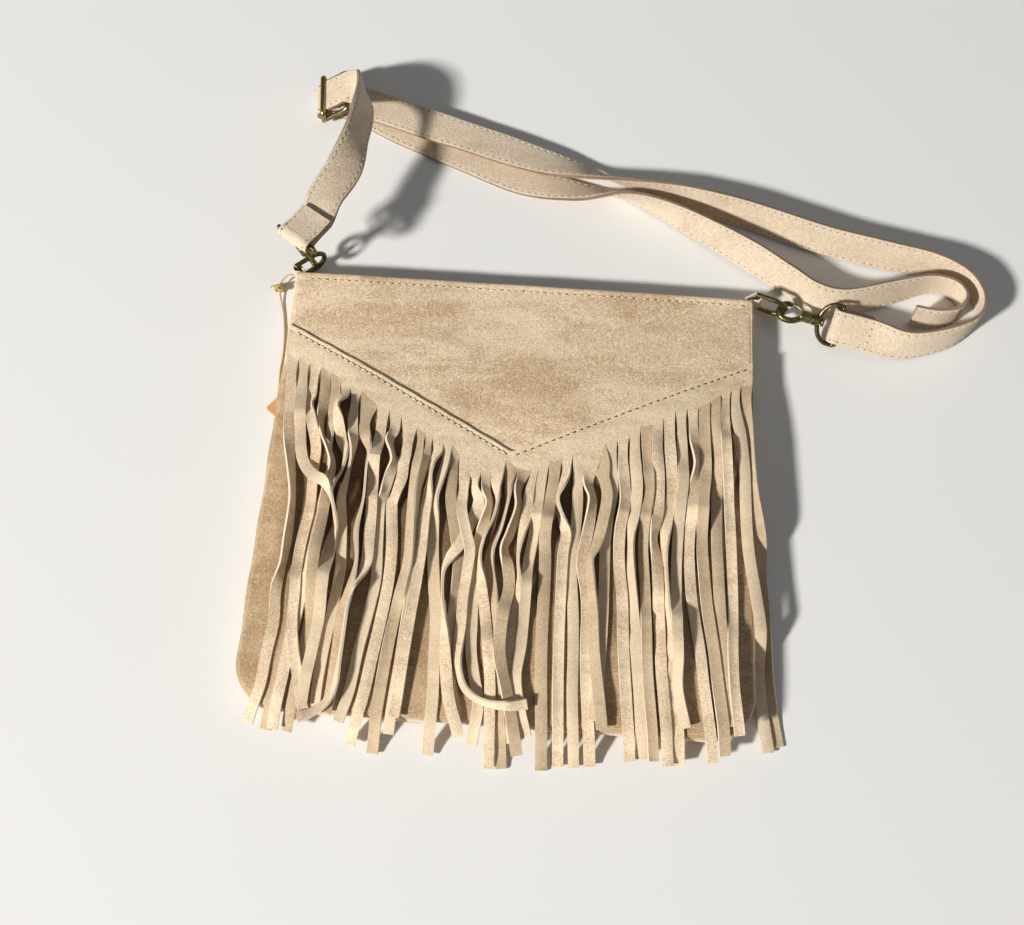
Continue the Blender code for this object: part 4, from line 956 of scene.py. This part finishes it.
def hole_shade_shapes(place, along, out, length, width):
    """The painted shade of a small pit between two stitches, drawn as a flat dark lens."""
    side = along.cross(out).normalized()
    middle = place + out * 0.00022
    ring = [place + along * cos(angle) * length / 2 + side * sin(angle) * width / 2 + out * 0.00004
            for angle in np.linspace(0, 2 * pi, 8, endpoint=False)]
    faces = [(0, 1 + step, 1 + (step + 1) % 8) for step in range(8)]
    faces += [tuple(range(8, 0, -1))]
    return [middle] + ring, faces


def stitch_row(name, stops, outs, hole=1.0, pit=NEEDLE_HOLE_SHADE):
    """Stitches and the painted shade of their needle holes along points on a surface; outs are the outward
    directions there.
    """
    line = np.array([tuple(stop) for stop in stops])
    along = np.concatenate([[0], np.cumsum(np.linalg.norm(np.diff(line, axis=0), axis=1))])
    out_line = np.array([tuple(out) for out in outs])
    count = int(along[-1] / STITCH_PITCH)
    vertices, faces, kinds = [], [], []
    for index in range(count):
        at = (index + 0.5) * STITCH_PITCH + 0.00025 * sin(index * 12.9)
        ends = [Vector([np.interp(at + step, along, line[:, k]) for k in range(3)])
                for step in (-0.0004, 0, 0.0004)]
        out = Vector([np.interp(at, along, out_line[:, k]) for k in range(3)]).normalized()
        heading = (ends[2] - ends[0]).normalized()
        out = across(out, heading)
        lean = across(heading + heading.cross(out) * 0.10 * sin(index * 4.1), out)
        length = STITCH_LENGTH * (1 + 0.06 * sin(index * 7.3))
        gap = ends[1] + heading * STITCH_PITCH / 2
        stitch = stitch_shapes(ends[1], lean, out, length, THREAD)
        # The dark lens beside each stitch is painted shade of its needle hole
        pricked = hole_shade_shapes(gap, heading, out, HOLE_LENGTH * hole, HOLE_WIDTH * hole)
        for (points, parts), kind in ((stitch, 0), (pricked, 1)):
            base = len(vertices)
            vertices += [tuple(point) for point in points]
            faces += [tuple(base + corner for corner in face) for face in parts]
            kinds += [kind] * len(parts)
    add_piece(name, vertices, faces, [CREAM_THREAD, pit], kinds)


def mouth_stitches():
    for name, side in (("mouth_stitches_front", 1), ("mouth_stitches_back", -1)):
        xs = np.linspace(-MOUTH_HALF + 0.005, MOUTH_HALF - 0.005, 200)
        y = MOUTH_Y - MOUTH_SEAM
        if side > 0:
            zs = front_top(xs, y) + mouth_hem(y)
        else:
            zs = back_low(xs, y) + BACK_SEAM_DIP
        stitch_row(name, [(x, y, z) for x, z in zip(xs, zs)], [(0, 0, side)] * len(xs))


def fringe_stitches():
    for name, start, end in (("v_stitches_left", -1, 0), ("v_stitches_right", 0, 1)):
        xs = np.linspace(start, end, 120) * (MOUTH_HALF - 0.003)
        points = []
        for x in xs:
            y = v_edge(x) - V_SEAM
            points.append((x, y, float(band_under(x, y)) + FRINGE))
        stitch_row(name, points, [(0, 0, 1)] * len(points))


# Strap. The stops of its bands, as the frame's strap runs.

UPPER_BAND_RIGHT = (
    ((0.0840, -0.0220, 0.0104), (0.0, 0.42, 0.90)),
    ((0.1070, -0.0160, 0.0106), (-0.1, 0.2, 0.97)),
    ((0.1220, -0.0060, 0.0108), (0.0, 0.0, 1.0)),
    ((0.1265, 0.0050, 0.0108), (0.0, 0.0, 1.0)),
    ((0.1230, 0.0160, 0.0108), (0.0, 0.0, 1.0)),
    ((0.1140, 0.0240, 0.0108), (0.0, 0.1, 1.0)),
    ((0.0970, 0.0300, 0.0106), (0.0, 0.3, 0.95)),
    ((0.0730, 0.0340, 0.0102), (0.0, 0.42, 0.90)),
    ((0.0360, 0.0420, 0.0102), (0.0, 0.42, 0.90)),
    ((-0.0030, 0.0540, 0.0102), (0.0, 0.40, 0.91)),
    ((-0.0390, 0.0630, 0.0104), (0.0, 0.20, 0.98)),
    ((-0.0710, 0.0690, 0.0112), (0.0, -0.25, 0.97)),
    ((-0.1010, 0.0750, 0.0118), (0.0, -0.75, 0.65)),
    ((-0.1290, 0.0820, 0.0105), (0.0, -0.97, 0.22)),
)
UPPER_BAND_LEFT = (
    ((0.0900, 0.0950, 0.0092), (-0.2, -1.0, 0.06)),
    ((0.0570, 0.1050, 0.0089), (-0.2, -1.0, 0.0)),
)
LOWER_BAND_LEFT = (
    ((0.0570, 0.0990, 0.0018), (-0.2, -1.0, 0.0)),
    ((0.0900, 0.0860, 0.0018), (-0.3, -1.0, 0.0)),
    ((0.1220, 0.0730, 0.0022), (-0.2, -1.0, 0.08)),
)
LOWER_BAND_RIGHT = (
    ((-0.1050, 0.0650, 0.0064), (0.0, -0.86, 0.50)),
    ((-0.0750, 0.0615, 0.0104), (0.0, -0.30, 0.95)),
    ((-0.0490, 0.0520, 0.0106), (0.0, 0.15, 0.98)),
    ((-0.0120, 0.0330, 0.0102), (0.2, 0.40, 0.90)),
    ((0.0170, 0.0150, 0.0102), (0.2, 0.40, 0.90)),
    ((0.0330, 0.0050, 0.0102), (0.1, 0.40, 0.90)),
    ((0.0500, 0.0025, 0.0102), (0.0, 0.40, 0.90)),
    ((0.0750, 0.0100, 0.0104), (0.0, 0.30, 0.95)),
    ((0.0970, 0.0170, 0.0106), (0.0, 0.10, 1.0)),
    ((0.1110, 0.0150, 0.0108), (0.0, 0.0, 1.0)),
    ((0.1165, 0.0070, 0.0108), (0.0, 0.0, 1.0)),
    ((0.1120, -0.0010, 0.0108), (0.0, 0.0, 1.0)),
    ((0.1010, -0.0045, 0.0106), (0.0, 0.1, 1.0)),
    ((0.0880, -0.0030, 0.0104), (0.0, 0.1, 1.0)),
)
SHORT_BAND = (
    ((0.0235, 0.1147, 0.0247), (-0.27, 0.90, 0.35)),
    ((0.0288, 0.1068, 0.0326), (-0.40, 0.67, 0.63)),
    ((0.0307, 0.0918, 0.0406), (-0.43, 0.63, 0.65)),
    ((0.0291, 0.0710, 0.0446), (-0.50, 0.44, 0.74)),
    ((0.0248, 0.0490, 0.0454), (-0.84, 0.40, 0.38)),
    ((0.0165, 0.0304, 0.0454), (-0.92, 0.39, 0.06)),
)
SHORT_BAND_LEAVES = (0.45, 0.86, -0.12)
RIGHT_RING_BAR = (MOUTH_HALF + 0.003, MOUTH_Y + 0.003)
LEFT_RING_BAR = (-MOUTH_HALF - 0.001, MOUTH_Y + 0.003)
RING_Z = 0.0102
RING_WIRE = 0.0015
RING_REACH = 0.0175
RING_HALF_WIDTH = 0.0075
RIGHT_RING_DIRECTION = (0.95, -0.31)
LEFT_RING_DIRECTION = (0.78, 0.63)
RIGHT_CLIP_DIRECTION = (-0.97, 0.24, 0.0)
LEFT_CLIP_DIRECTION = (0.12, 0.12, -0.98)
LEFT_GRIP_ALONG_LEG = 0.0090
RIGHT_EYE_BAR = (0.17, 0.69, 0.70)
LEFT_EYE_BAR = (-0.85, 0.53, 0.0)
GRIP = 0.0303
EYE_WIRE = 0.0014
EYE_LOOP = EYE_WIRE + GAP + STRAP / 2
SLIDER_WIRE = 0.0015
SLIDER_SPREAD = 0.0189
SLIDER_TILT = radians(38)
SLIDER_FROM_RING = (0.0015, 0.1160, 0.0052)
SLIDER_BAR_DIRECTION = (-0.10, 0.995, 0.0)
SLIDER_LEAD = 0.014
SLIDER_LOOP = SLIDER_WIRE + GAP + STRAP / 2 + 0.0004
SLIDER_HALF = 0.0127
KEEPER_WIRE = 0.0018
KEEPER_CORNER = 0.0020
FREE_END_LIFT = 0.0012


def clip_origins():
    """Where the eyes' bars lie and which way the clips point: right, then left."""
    axis = unit(RIGHT_CLIP_DIRECTION)
    grip = Vector((*RIGHT_RING_BAR, RING_Z)) + unit((*RIGHT_RING_DIRECTION, 0)) * RING_REACH
    right = grip - axis * GRIP, axis
    axis = unit(LEFT_CLIP_DIRECTION)
    grip = (Vector((*LEFT_RING_BAR, RING_Z + RING_HALF_WIDTH))
            + unit((*LEFT_RING_DIRECTION, 0)) * LEFT_GRIP_ALONG_LEG)
    return right, (grip - axis * GRIP, axis)


def bar_loop(bar, away, fold_side):
    """Points of a band folded round an eye's bar: down the fold, round the bar and back out."""
    half = (STRAP + GAP) / 2
    away, fold_side = unit(away), unit(fold_side)
    points = [bar + away * FOLD_LENGTH + fold_side * half, bar + away * FOLD_TAPER + fold_side * half]
    for step in range(LOOP_STEPS + 1):
        angle = pi * step / LOOP_STEPS
        points.append(bar + fold_side * EYE_LOOP * cos(angle) - away * EYE_LOOP * sin(angle))
    points.append(bar + away * FOLD_TAPER - fold_side * half)
    points.append(bar + away * FOLD_LENGTH - fold_side * half)
    return points


def laid(stops, bar):
    """A band's stops with their places taken from a ring's bar, and the directions of its edge."""
    places = [Vector((bar[0] + x, bar[1] + y, z)) for (x, y, z), _ in stops]
    return places, [Vector(edge) for _, edge in stops]


def slider_bars():
    """The strap slider's low and high bar, their direction, and the flat way from one to the other."""
    bar = unit(SLIDER_BAR_DIRECTION)
    flat = across((1, 0, 0), bar)
    rise = flat * cos(SLIDER_TILT) + UP * sin(SLIDER_TILT)
    low = Vector((*LEFT_RING_BAR, 0)) + Vector(SLIDER_FROM_RING)
    return low, low + rise * SLIDER_SPREAD, bar, flat


def long_route():
    """The long band: round the right eye, out and back to the slider, and on to its free end."""
    (origin, axis), _ = clip_origins()
    away = -axis
    bar = across(RIGHT_EYE_BAR, axis)
    loop = bar_loop(origin, away, across(bar.cross(away), away))
    low, _, slider_bar, flat = slider_bars()
    angles = [pi * step / LOOP_STEPS for step in range(LOOP_STEPS + 1)]
    turn = [low + UP * SLIDER_LOOP * cos(angle) - flat * SLIDER_LOOP * sin(angle) for angle in angles]
    lead = flat * SLIDER_LEAD
    upper_right, upper_right_edges = laid(UPPER_BAND_RIGHT, RIGHT_RING_BAR)
    upper_left, upper_left_edges = laid(UPPER_BAND_LEFT, LEFT_RING_BAR)
    lower_left, lower_left_edges = laid(LOWER_BAND_LEFT, LEFT_RING_BAR)
    lower_right, lower_right_edges = laid(LOWER_BAND_RIGHT, RIGHT_RING_BAR)
    out = [loop[-1], *upper_right, *upper_left, turn[0] + lead, turn[0]]
    back = [turn[-1], turn[-1] + lead, *lower_left, *lower_right]
    out_edges = [bar, *upper_right_edges, *upper_left_edges, -slider_bar, -slider_bar]
    back_edges = [-slider_bar, -slider_bar, *lower_left_edges, *lower_right_edges]
    steps = STRAP_ROW_STEPS
    route = loop + smooth(out, steps)[1:] + turn[1:-1] + smooth(back, steps)
    edges = [bar] * len(loop) + smooth(out_edges, steps)[1:]
    edges += [-slider_bar] * len(turn[1:-1]) + smooth(back_edges, steps)
    return route, edges


def short_route():
    """The short band: out from under the keeper, over the slider's high bar and round the left eye."""
    low, high, slider_bar, flat = slider_bars()
    _, (origin, axis) = clip_origins()
    bar = across(LEFT_EYE_BAR, axis)
    away = across(SHORT_BAND_LEAVES, bar)
    fold_side = across(UP, away)
    end = bar_loop(origin, away, fold_side)
    end.reverse()
    end[-1] = end[-1] + fold_side * FREE_END_LIFT
    stops, stop_edges = laid(SHORT_BAND, LEFT_RING_BAR)
    under = low + flat * (KEEPER_WIRE + 0.0004) + UP * (SLIDER_LOOP + STRAP + GAP)
    over = high + UP * (SLIDER_WIRE + GAP + STRAP / 2 + 0.0006)
    middle = [under, (under + over) / 2, over, *stops, end[0]]
    middle_edges = [slider_bar, slider_bar, slider_bar, *stop_edges, bar]
    steps = STRAP_ROW_STEPS
    route = smooth(middle, steps) + end[1:]
    edges = smooth(middle_edges, steps) + [bar] * (len(end) - 1)
    return route, edges


# Half of the strap's section, from its middle to its edge: across in half widths, out in half thicknesses
STRAP_SECTION = ((0.0, 0.90), (0.35, 0.93), (0.60, 0.97), (0.72, 0.96), (0.79, 0.80), (0.86, 0.95),
                 (0.93, 0.90), (0.975, 0.66), (1.0, 0.30))
STRAP_GROOVE = ((0.985, 0.0),)
CUT_FROM = 0.96


def strap_section():
    """The whole section round, and which of its sides are cut edge."""
    top = [(-a, o) for a, o in reversed(STRAP_SECTION)] + list(STRAP_SECTION[1:])
    bottom = [(a, -o) for a, o in reversed(top)]
    groove = [(-a, o) for a, o in STRAP_GROOVE]
    loop = top + list(STRAP_GROOVE) + bottom + groove
    edge = []
    for (a, _), (b, _) in zip(loop, loop[1:] + loop[:1]):
        edge.append(1 if min(abs(a), abs(b)) > CUT_FROM else 0)
    return loop, edge


def band_piece(name, route, edges, node):
    """A doubled suede band with rounded, grooved edges, and its stitch rows on both faces."""
    route = [route[0], *[route[0].lerp(route[1], share) for share in CUT_END_ROWS], *route[1:-1],
             *[route[-1].lerp(route[-2], share) for share in reversed(CUT_END_ROWS)], route[-1]]
    edges = [edges[0]] * len(CUT_END_ROWS) + list(edges) + [edges[-1]] * len(CUT_END_ROWS)
    loop, edge = strap_section()
    vertices = []
    frames = []
    travelled = 0.0
    for index, point in enumerate(route):
        before = route[max(index - 1, 0)]
        after = route[min(index + 1, len(route) - 1)]
        if index:
            travelled += (point - route[index - 1]).length
        ahead = (after - before).normalized()
        side = across(edges[index], after - before)
        out = side.cross(ahead).normalized()
        frames.append((point, side, out))
        waver = 1 + 0.012 * sin(travelled * 140) + 0.008 * sin(travelled * 61 + 1)
        for a, o in loop:
            bead = 1 + 0.03 * sin(travelled * 2 * pi / STITCH_PITCH) * (1 if abs(a) > 0.6 else 0.2)
            vertices.append(point + side * a * STRAP_WIDTH / 2 * waver + out * o * STRAP / 2 * bead)
    faces = grid_faces(len(route), len(loop), True)
    kinds = edge * (len(route) - 1)
    size = len(loop)
    for first, (point, side, out), end in ((0, frames[0], -1), ((len(route) - 1) * size, frames[-1], 1)):
        core = len(vertices)
        middle = point - side.cross(out) * end * CUT_END_BULGE
        for a, o in loop:
            vertices.append(middle + side * a * STRAP_WIDTH * 0.485 + out * o * STRAP * 0.17)
        for step in range(size):
            after = (step + 1) % size
            faces.append((first + step, core + step, core + after, first + after)[::-end])
            kinds.append(1)
        faces.append(tuple(range(core, core + size))[::-end])
        kinds.append(2)
    finishes = [STRAP_SUEDE, STRAP_EDGE, CUT_EDGE]
    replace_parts(add_piece(name, vertices, faces, finishes, kinds), node)
    for row, (edge_side, face_side) in enumerate(((1, 1), (-1, 1), (1, -1), (-1, -1))):
        line = [point + side * edge_side * (STRAP_WIDTH / 2 - STRAP_SEAM) + out * face_side * STRAP * 0.40
                for point, side, out in frames]
        outs = [out * face_side for _, _, out in frames]
        stitch_row(f"{name}_stitches_{row + 1}", line, outs, 0.8, STRAP_HOLE_SHADE)
    return frames


def cross_stitches(name, frames, start_at):
    """A short row of stitches across the band, on both faces, where a folded end is sewn down."""
    point, side, out = frames[start_at]
    for face, tag in ((1, "a"), (-1, "b")):
        line = [point + side * share * (STRAP_WIDTH / 2 - STRAP_SEAM) + out * face * STRAP * 0.47
                for share in np.linspace(-1, 1, 12)]
        stitch_row(f"{name}_{tag}", line, [out * face] * len(line), 0.8, STRAP_HOLE_SHADE)


def strap_pieces():
    route, edges = long_route()
    frames = band_piece("long_strap", route, edges, "strap_long")
    cross_stitches("long_strap_fold_stitches", frames, len(CUT_END_ROWS) + LOOP_STEPS + 4)
    route, edges = short_route()
    frames = band_piece("short_strap", route, edges, "strap_short")
    cross_stitches("short_strap_fold_stitches", frames, len(frames) - len(CUT_END_ROWS) - LOOP_STEPS - 3)


# Ring tabs, zip tapes, tag and cord

def sheet_piece(name, rows, thickness, materials, node):
    """A sheet through rows of points; the last material is on its cut edge."""
    points = [point for row in rows for point in row]
    thing = add_piece(name, points, grid_faces(len(rows), len(rows[0])), materials)
    wall(thing, thickness, 0, len(materials) - 1)
    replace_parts(thing, node)
    return thing


TAB_SUEDE = 0.0012
TAB_WIDTH = 0.0096
TAB_EDGE = 0.0003
GUSSET_STACK = 0.0018


def tab_piece(name, node, bar, side):
    """A folded strip that holds the ring's bar, sewn inside the end of the mouth."""
    radius = RING_WIRE + GAP + TAB_SUEDE / 2
    half = (TAB_SUEDE + GAP) / 2
    inside = side * (half_width(MOUTH_Y) - GUSSET_STACK - GAP - TAB_SUEDE / 2 - half)
    mouth = Vector((inside + side * 0.0004, MOUTH_Y + 0.0012, RING_Z))
    deep = Vector((inside, MOUTH_Y - 0.003, RING_Z))
    end = Vector((inside, MOUTH_Y - 0.015, RING_Z))
    bar = Vector((*bar, RING_Z))
    away = unit(mouth - bar)
    outward = UP.cross(away) * side
    outer = [point + Vector((side * half, 0, 0)) for point in (end, deep)] + [mouth - outward * half]
    inner = [mouth + outward * half] + [point - Vector((side * half, 0, 0)) for point in (deep, end)]
    angles = [pi * step / 14 for step in range(15)]
    around = [bar - outward * radius * cos(angle) - away * radius * sin(angle) for angle in angles]
    route = outer + around + inner
    rows = []
    for point in route:
        rows.append([point + UP * TAB_WIDTH * share for share in np.linspace(-0.5, 0.5, 7)])
    thing = sheet_piece(name, rows, TAB_SUEDE, [BODY_SUEDE, CUT_EDGE], node)
    round_edges(thing, TAB_EDGE, 2)


ZIP_Y = MOUTH_Y - 0.007
ZIP_HALF = 0.100
ZIP_Z = 0.0085
ROW_REACH = 0.0033
TAPE = 0.0006
TAPE_DEPTH = 0.013
TAPE_TURN = 0.0012


def tape_piece(name, node, wall_z, row_z):
    """A woven tape, sewn along a panel and turned square across the mouth to its teeth."""
    turn = TAPE_TURN if wall_z > row_z else -TAPE_TURN
    profile = ((ZIP_Y - TAPE_DEPTH, wall_z), (ZIP_Y - 0.006, wall_z), (ZIP_Y - TAPE_TURN, wall_z),
               (ZIP_Y, wall_z - turn), (ZIP_Y, row_z))
    line = smooth([(0, y, z) for y, z in profile], 5)
    rows = []
    for x in np.linspace(-ZIP_HALF, ZIP_HALF, 90):
        rows.append([(x, point.y + 0.00008 * sin(x * 900), point.z) for point in line])
    sheet_piece(name, rows, TAPE, [ZIP_TAPE], node)


TAG_SIDE = 0.014
TAG_CORNER = (-0.1388, 0.0222)
TAG_ANGLE = radians(-38)
TAG_LEATHER = 0.0010
TAG_ROUND = 0.0012
TAG_EDGE = 0.00015
TAG_HOLE = 0.0008
TAG_HOLE_IN = 0.0026
CORD_RADIUS = 0.0005
CORD_ROUTE = (
    (-0.1318, 0.1010, 0.0102),
    (-0.1350, 0.1012, 0.0085),
    (-0.1385, 0.0996, 0.0045),
    (-0.1398, 0.0950, 0.0036),
    (-0.1382, 0.0885, 0.0014),
    (-0.1358, 0.0800, 0.0008),
    (-0.1340, 0.0690, 0.0008),
    (-0.1332, 0.0560, 0.0008),
    (-0.1336, 0.0450, 0.0008),
    (-0.1330, 0.0345, 0.0009),
)


def tag_piece():
    """A square of tan leather with rounded corners and a hole for the cord."""
    half = TAG_SIDE / 2
    outline = []
    for quarter, (x_side, y_side) in enumerate(((1, 1), (-1, 1), (-1, -1), (1, -1))):
        x = (half - TAG_ROUND) * x_side
        y = (half - TAG_ROUND) * y_side
        for step in range(6):
            angle = pi / 2 * (quarter + step / 5)
            outline.append((x + TAG_ROUND * cos(angle), y + TAG_ROUND * sin(angle)))
    hole_at = half - TAG_HOLE_IN
    hole = [(hole_at + TAG_HOLE * cos(angle), hole_at + TAG_HOLE * sin(angle))
            for angle in np.linspace(0, 2 * pi, 24, endpoint=False)]
    curve = bpy.data.curves.new("tag_outline", "CURVE")
    curve.dimensions = "2D"
    curve.fill_mode = "BOTH"
    curve.extrude = TAG_LEATHER / 2 - TAG_EDGE
    curve.bevel_depth = TAG_EDGE
    curve.bevel_resolution = 2
    for ring in (outline, hole):
        line = curve.splines.new("POLY")
        line.points.add(len(ring) - 1)
        for point, (x, y) in zip(line.points, ring):
            point.co = (x, y, 0, 1)
        line.use_cyclic_u = True
    source = bpy.data.objects.new("tag_outline", curve)
    bpy.context.scene.collection.objects.link(source)
    bpy.context.view_layer.update()
    mesh = bpy.data.meshes.new_from_object(source.evaluated_get(bpy.context.evaluated_depsgraph_get()))
    bpy.data.objects.remove(source)
    turn = Matrix.Rotation(TAG_ANGLE, 4, "Z")
    middle = Vector((*TAG_CORNER, 0)) + turn @ Vector((half, half, 0))
    middle.z = 0.0001 + TAG_LEATHER / 2
    mesh.transform(Matrix.Translation(middle) @ turn)
    mesh.materials.clear()
    mesh.materials.append(TAN_LEATHER)
    thing = put_in_scene("tan_swing_tag", mesh)
    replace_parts(thing, "swing_tag")
    return thing


def round_line(name, points, radius, material):
    """A round cord or wire along points, with closed ends."""
    curve = bpy.data.curves.new(name, "CURVE")
    curve.dimensions = "3D"
    curve.bevel_depth = radius
    curve.bevel_resolution = 4
    curve.use_fill_caps = True
    line = curve.splines.new("POLY")
    line.points.add(len(points) - 1)
    for spot, point in zip(line.points, points):
        spot.co = (*point, 1)
    line.use_smooth = True
    curve.materials.append(material)
    return put_in_scene(name, curve)


KNOT_STEPS = 60
KNOT_RADIUS = 0.00190
KNOT_SWAY = 0.00060
KNOT_REACH = 0.0013
KNOT_CORD = 0.00085
TAIL_CORD = 0.00055


def knot_piece():
    """An overhand knot pulled tight round the cord, with a frayed end beside it."""
    middle = Vector(CORD_ROUTE[3])
    along = unit(Vector(CORD_ROUTE[4]) - Vector(CORD_ROUTE[2]))
    side = across((1, 0, 0), along)
    out = along.cross(side)
    points = []
    for step in range(KNOT_STEPS + 1):
        angle = 2 * pi * step / KNOT_STEPS
        radius = KNOT_RADIUS + KNOT_SWAY * cos(3 * angle)
        points.append(middle + (side * cos(2 * angle) + out * sin(2 * angle)) * radius
                      + along * KNOT_REACH * sin(3 * angle))
    knot = round_line("cord_knot_wraps", points, KNOT_CORD, WAXED_CORD)
    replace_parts(knot, "cord_knot")
    end = [middle, middle + side * -0.0016 + out * 0.0006, middle + side * -0.0034 - along * 0.0012,
           middle + side * -0.0052 - along * 0.0008 - out * 0.0008]
    tail = round_line("cord_tail", smooth(end, 6), TAIL_CORD, WAXED_CORD)
    return [knot, tail]


def cord_pieces():
    line = smooth(CORD_ROUTE, 4)
    cord = round_line("tag_string", line, CORD_RADIUS, WAXED_CORD)
    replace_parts(cord, "tag_cord")
    on_it = [tag_piece(), *knot_piece()]


# Metal parts keep their frame shapes, cast smooth

def keeper_piece():
    """The slider's keeper: a bar bent over the fold of the long band."""
    low, _, bar, _ = slider_bars()
    rise = SLIDER_LOOP + STRAP / 2 + GAP + KEEPER_WIRE
    points = []
    for side in (-1, 1):
        foot = low + bar * side * SLIDER_HALF
        leg = [foot, foot + UP * (rise - KEEPER_CORNER)]
        for step in (1, 2, 3):
            angle = pi / 2 * step / 3
            up = UP * (rise - KEEPER_CORNER + KEEPER_CORNER * sin(angle))
            leg.append(foot + up - bar * side * KEEPER_CORNER * (1 - cos(angle)))
        points += leg if side < 0 else list(reversed(leg))
    round_line("slider_keeper", points, KEEPER_WIRE, OLD_BRASS)


# What is cast, and how finely: the material, the remesh cell in metres and the rounds of smoothing
PAIRED_CASTS = (
    ("ring", OLD_BRASS, 0.00022, 6),
    ("eye", DARK_BRASS, 0.00022, 6),
    ("hook", OLD_BRASS, 0.00022, 6),
    ("gate", OLD_BRASS, 0.00014, 4),
    ("gate_pin", DARK_BRASS, 0.00012, 3),
    ("zip_stop", DARK_BRASS, 0.00015, 5),
)
SINGLE_CASTS = (
    ("strap_slider", OLD_BRASS, 0.00022, 6),
    ("zip_slider", OLD_BRASS, 0.00014, 5),
    ("zip_pull", OLD_BRASS, 0.00014, 4),
)


def new_finish(node, material):
    """Gives a frame piece its one material."""
    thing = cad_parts[node]
    thing.data.materials.clear()
    thing.data.materials.append(material)
    return thing


def cast(node, material, cell, rounds):
    """A CAD metal part with its joints filleted and its facets smoothed, as cast brass has."""
    thing = new_finish(node, material)
    remesh = thing.modifiers.new("cast", "REMESH")
    remesh.mode = "VOXEL"
    remesh.voxel_size = cell
    remesh.use_smooth_shade = True
    calm = thing.modifiers.new("calm", "SMOOTH")
    calm.factor = 0.5
    calm.iterations = rounds


def metal_parts():
    for side in ("left", "right"):
        for part, *how in PAIRED_CASTS:
            cast(f"{part}_{side}", *how)
    for part, *how in SINGLE_CASTS:
        cast(part, *how)
    keeper_piece()
    for row in ("front", "back"):
        new_finish("zip_teeth_" + row, DARK_BRASS)


# Floor and light

FLOOR_SIDE = 6
FLOOR_COLOUR = (0.80, 0.79, 0.765)
AIM = Vector((0, 0, 0.01))
KEY_PLACE = (-3.36, -2.73, 3.15)
KEY_SIDE = 0.50
KEY_POWER = 392
KEY_COLOUR = (1.0, 0.985, 0.955)
FILL_PLACE = (1.8, 1.0, 3.2)
FILL_SIDE = 2.4
FILL_POWER = 9
FILL_COLOUR = (0.95, 0.975, 1.0)
SKY_COLOUR = (0.92, 0.95, 1.0)
SKY_STRENGTH = 0.135


def make_floor():
    bpy.ops.mesh.primitive_plane_add(size=FLOOR_SIDE)
    floor = bpy.context.object
    floor.name = "pale_floor"
    material, _, principled = new_material("pale_floor", FLOOR_COLOUR, Roughness=0.9)
    principled.inputs["Base Color"].default_value = (*FLOOR_COLOUR, 1)
    floor.data.materials.append(material)


def add_lamp(name, place, side, power, colour):
    """A square softbox that is turned towards the bag."""
    data = bpy.data.lights.new(name, "AREA")
    data.size = side
    data.energy = power
    data.color = colour
    lamp = bpy.data.objects.new(name, data)
    lamp.location = place
    lamp.rotation_euler = (AIM - Vector(place)).to_track_quat("-Z", "Y").to_euler()
    bpy.context.scene.collection.objects.link(lamp)


def make_light():
    add_lamp("key_softbox", KEY_PLACE, KEY_SIDE, KEY_POWER, KEY_COLOUR)
    add_lamp("fill_softbox", FILL_PLACE, FILL_SIDE, FILL_POWER, FILL_COLOUR)
    world = bpy.data.worlds.new("studio")
    world.use_nodes = True
    world.node_tree.nodes["Background"].inputs[0].default_value = (*SKY_COLOUR, 1)
    world.node_tree.nodes["Background"].inputs[1].default_value = SKY_STRENGTH
    bpy.context.scene.world = world
    bpy.context.scene.view_settings.view_transform = "Standard"


front_piece()
back_piece()
gusset_piece()
fringe_piece()
mouth_stitches()
fringe_stitches()
strap_pieces()
tab_piece("left_ring_tab", "ring_tab_left", LEFT_RING_BAR, -1)
tab_piece("right_ring_tab", "ring_tab_right", RIGHT_RING_BAR, 1)
tape_piece("front_zip_tape", "zip_tape_front", FRONT_EDGE_Z - GAP - TAPE / 2, ZIP_Z + ROW_REACH + GAP)
tape_piece("back_zip_tape", "zip_tape_back", SUEDE + GAP + TAPE / 2, ZIP_Z - ROW_REACH - GAP)
cord_pieces()
metal_parts()
make_floor()
make_light()
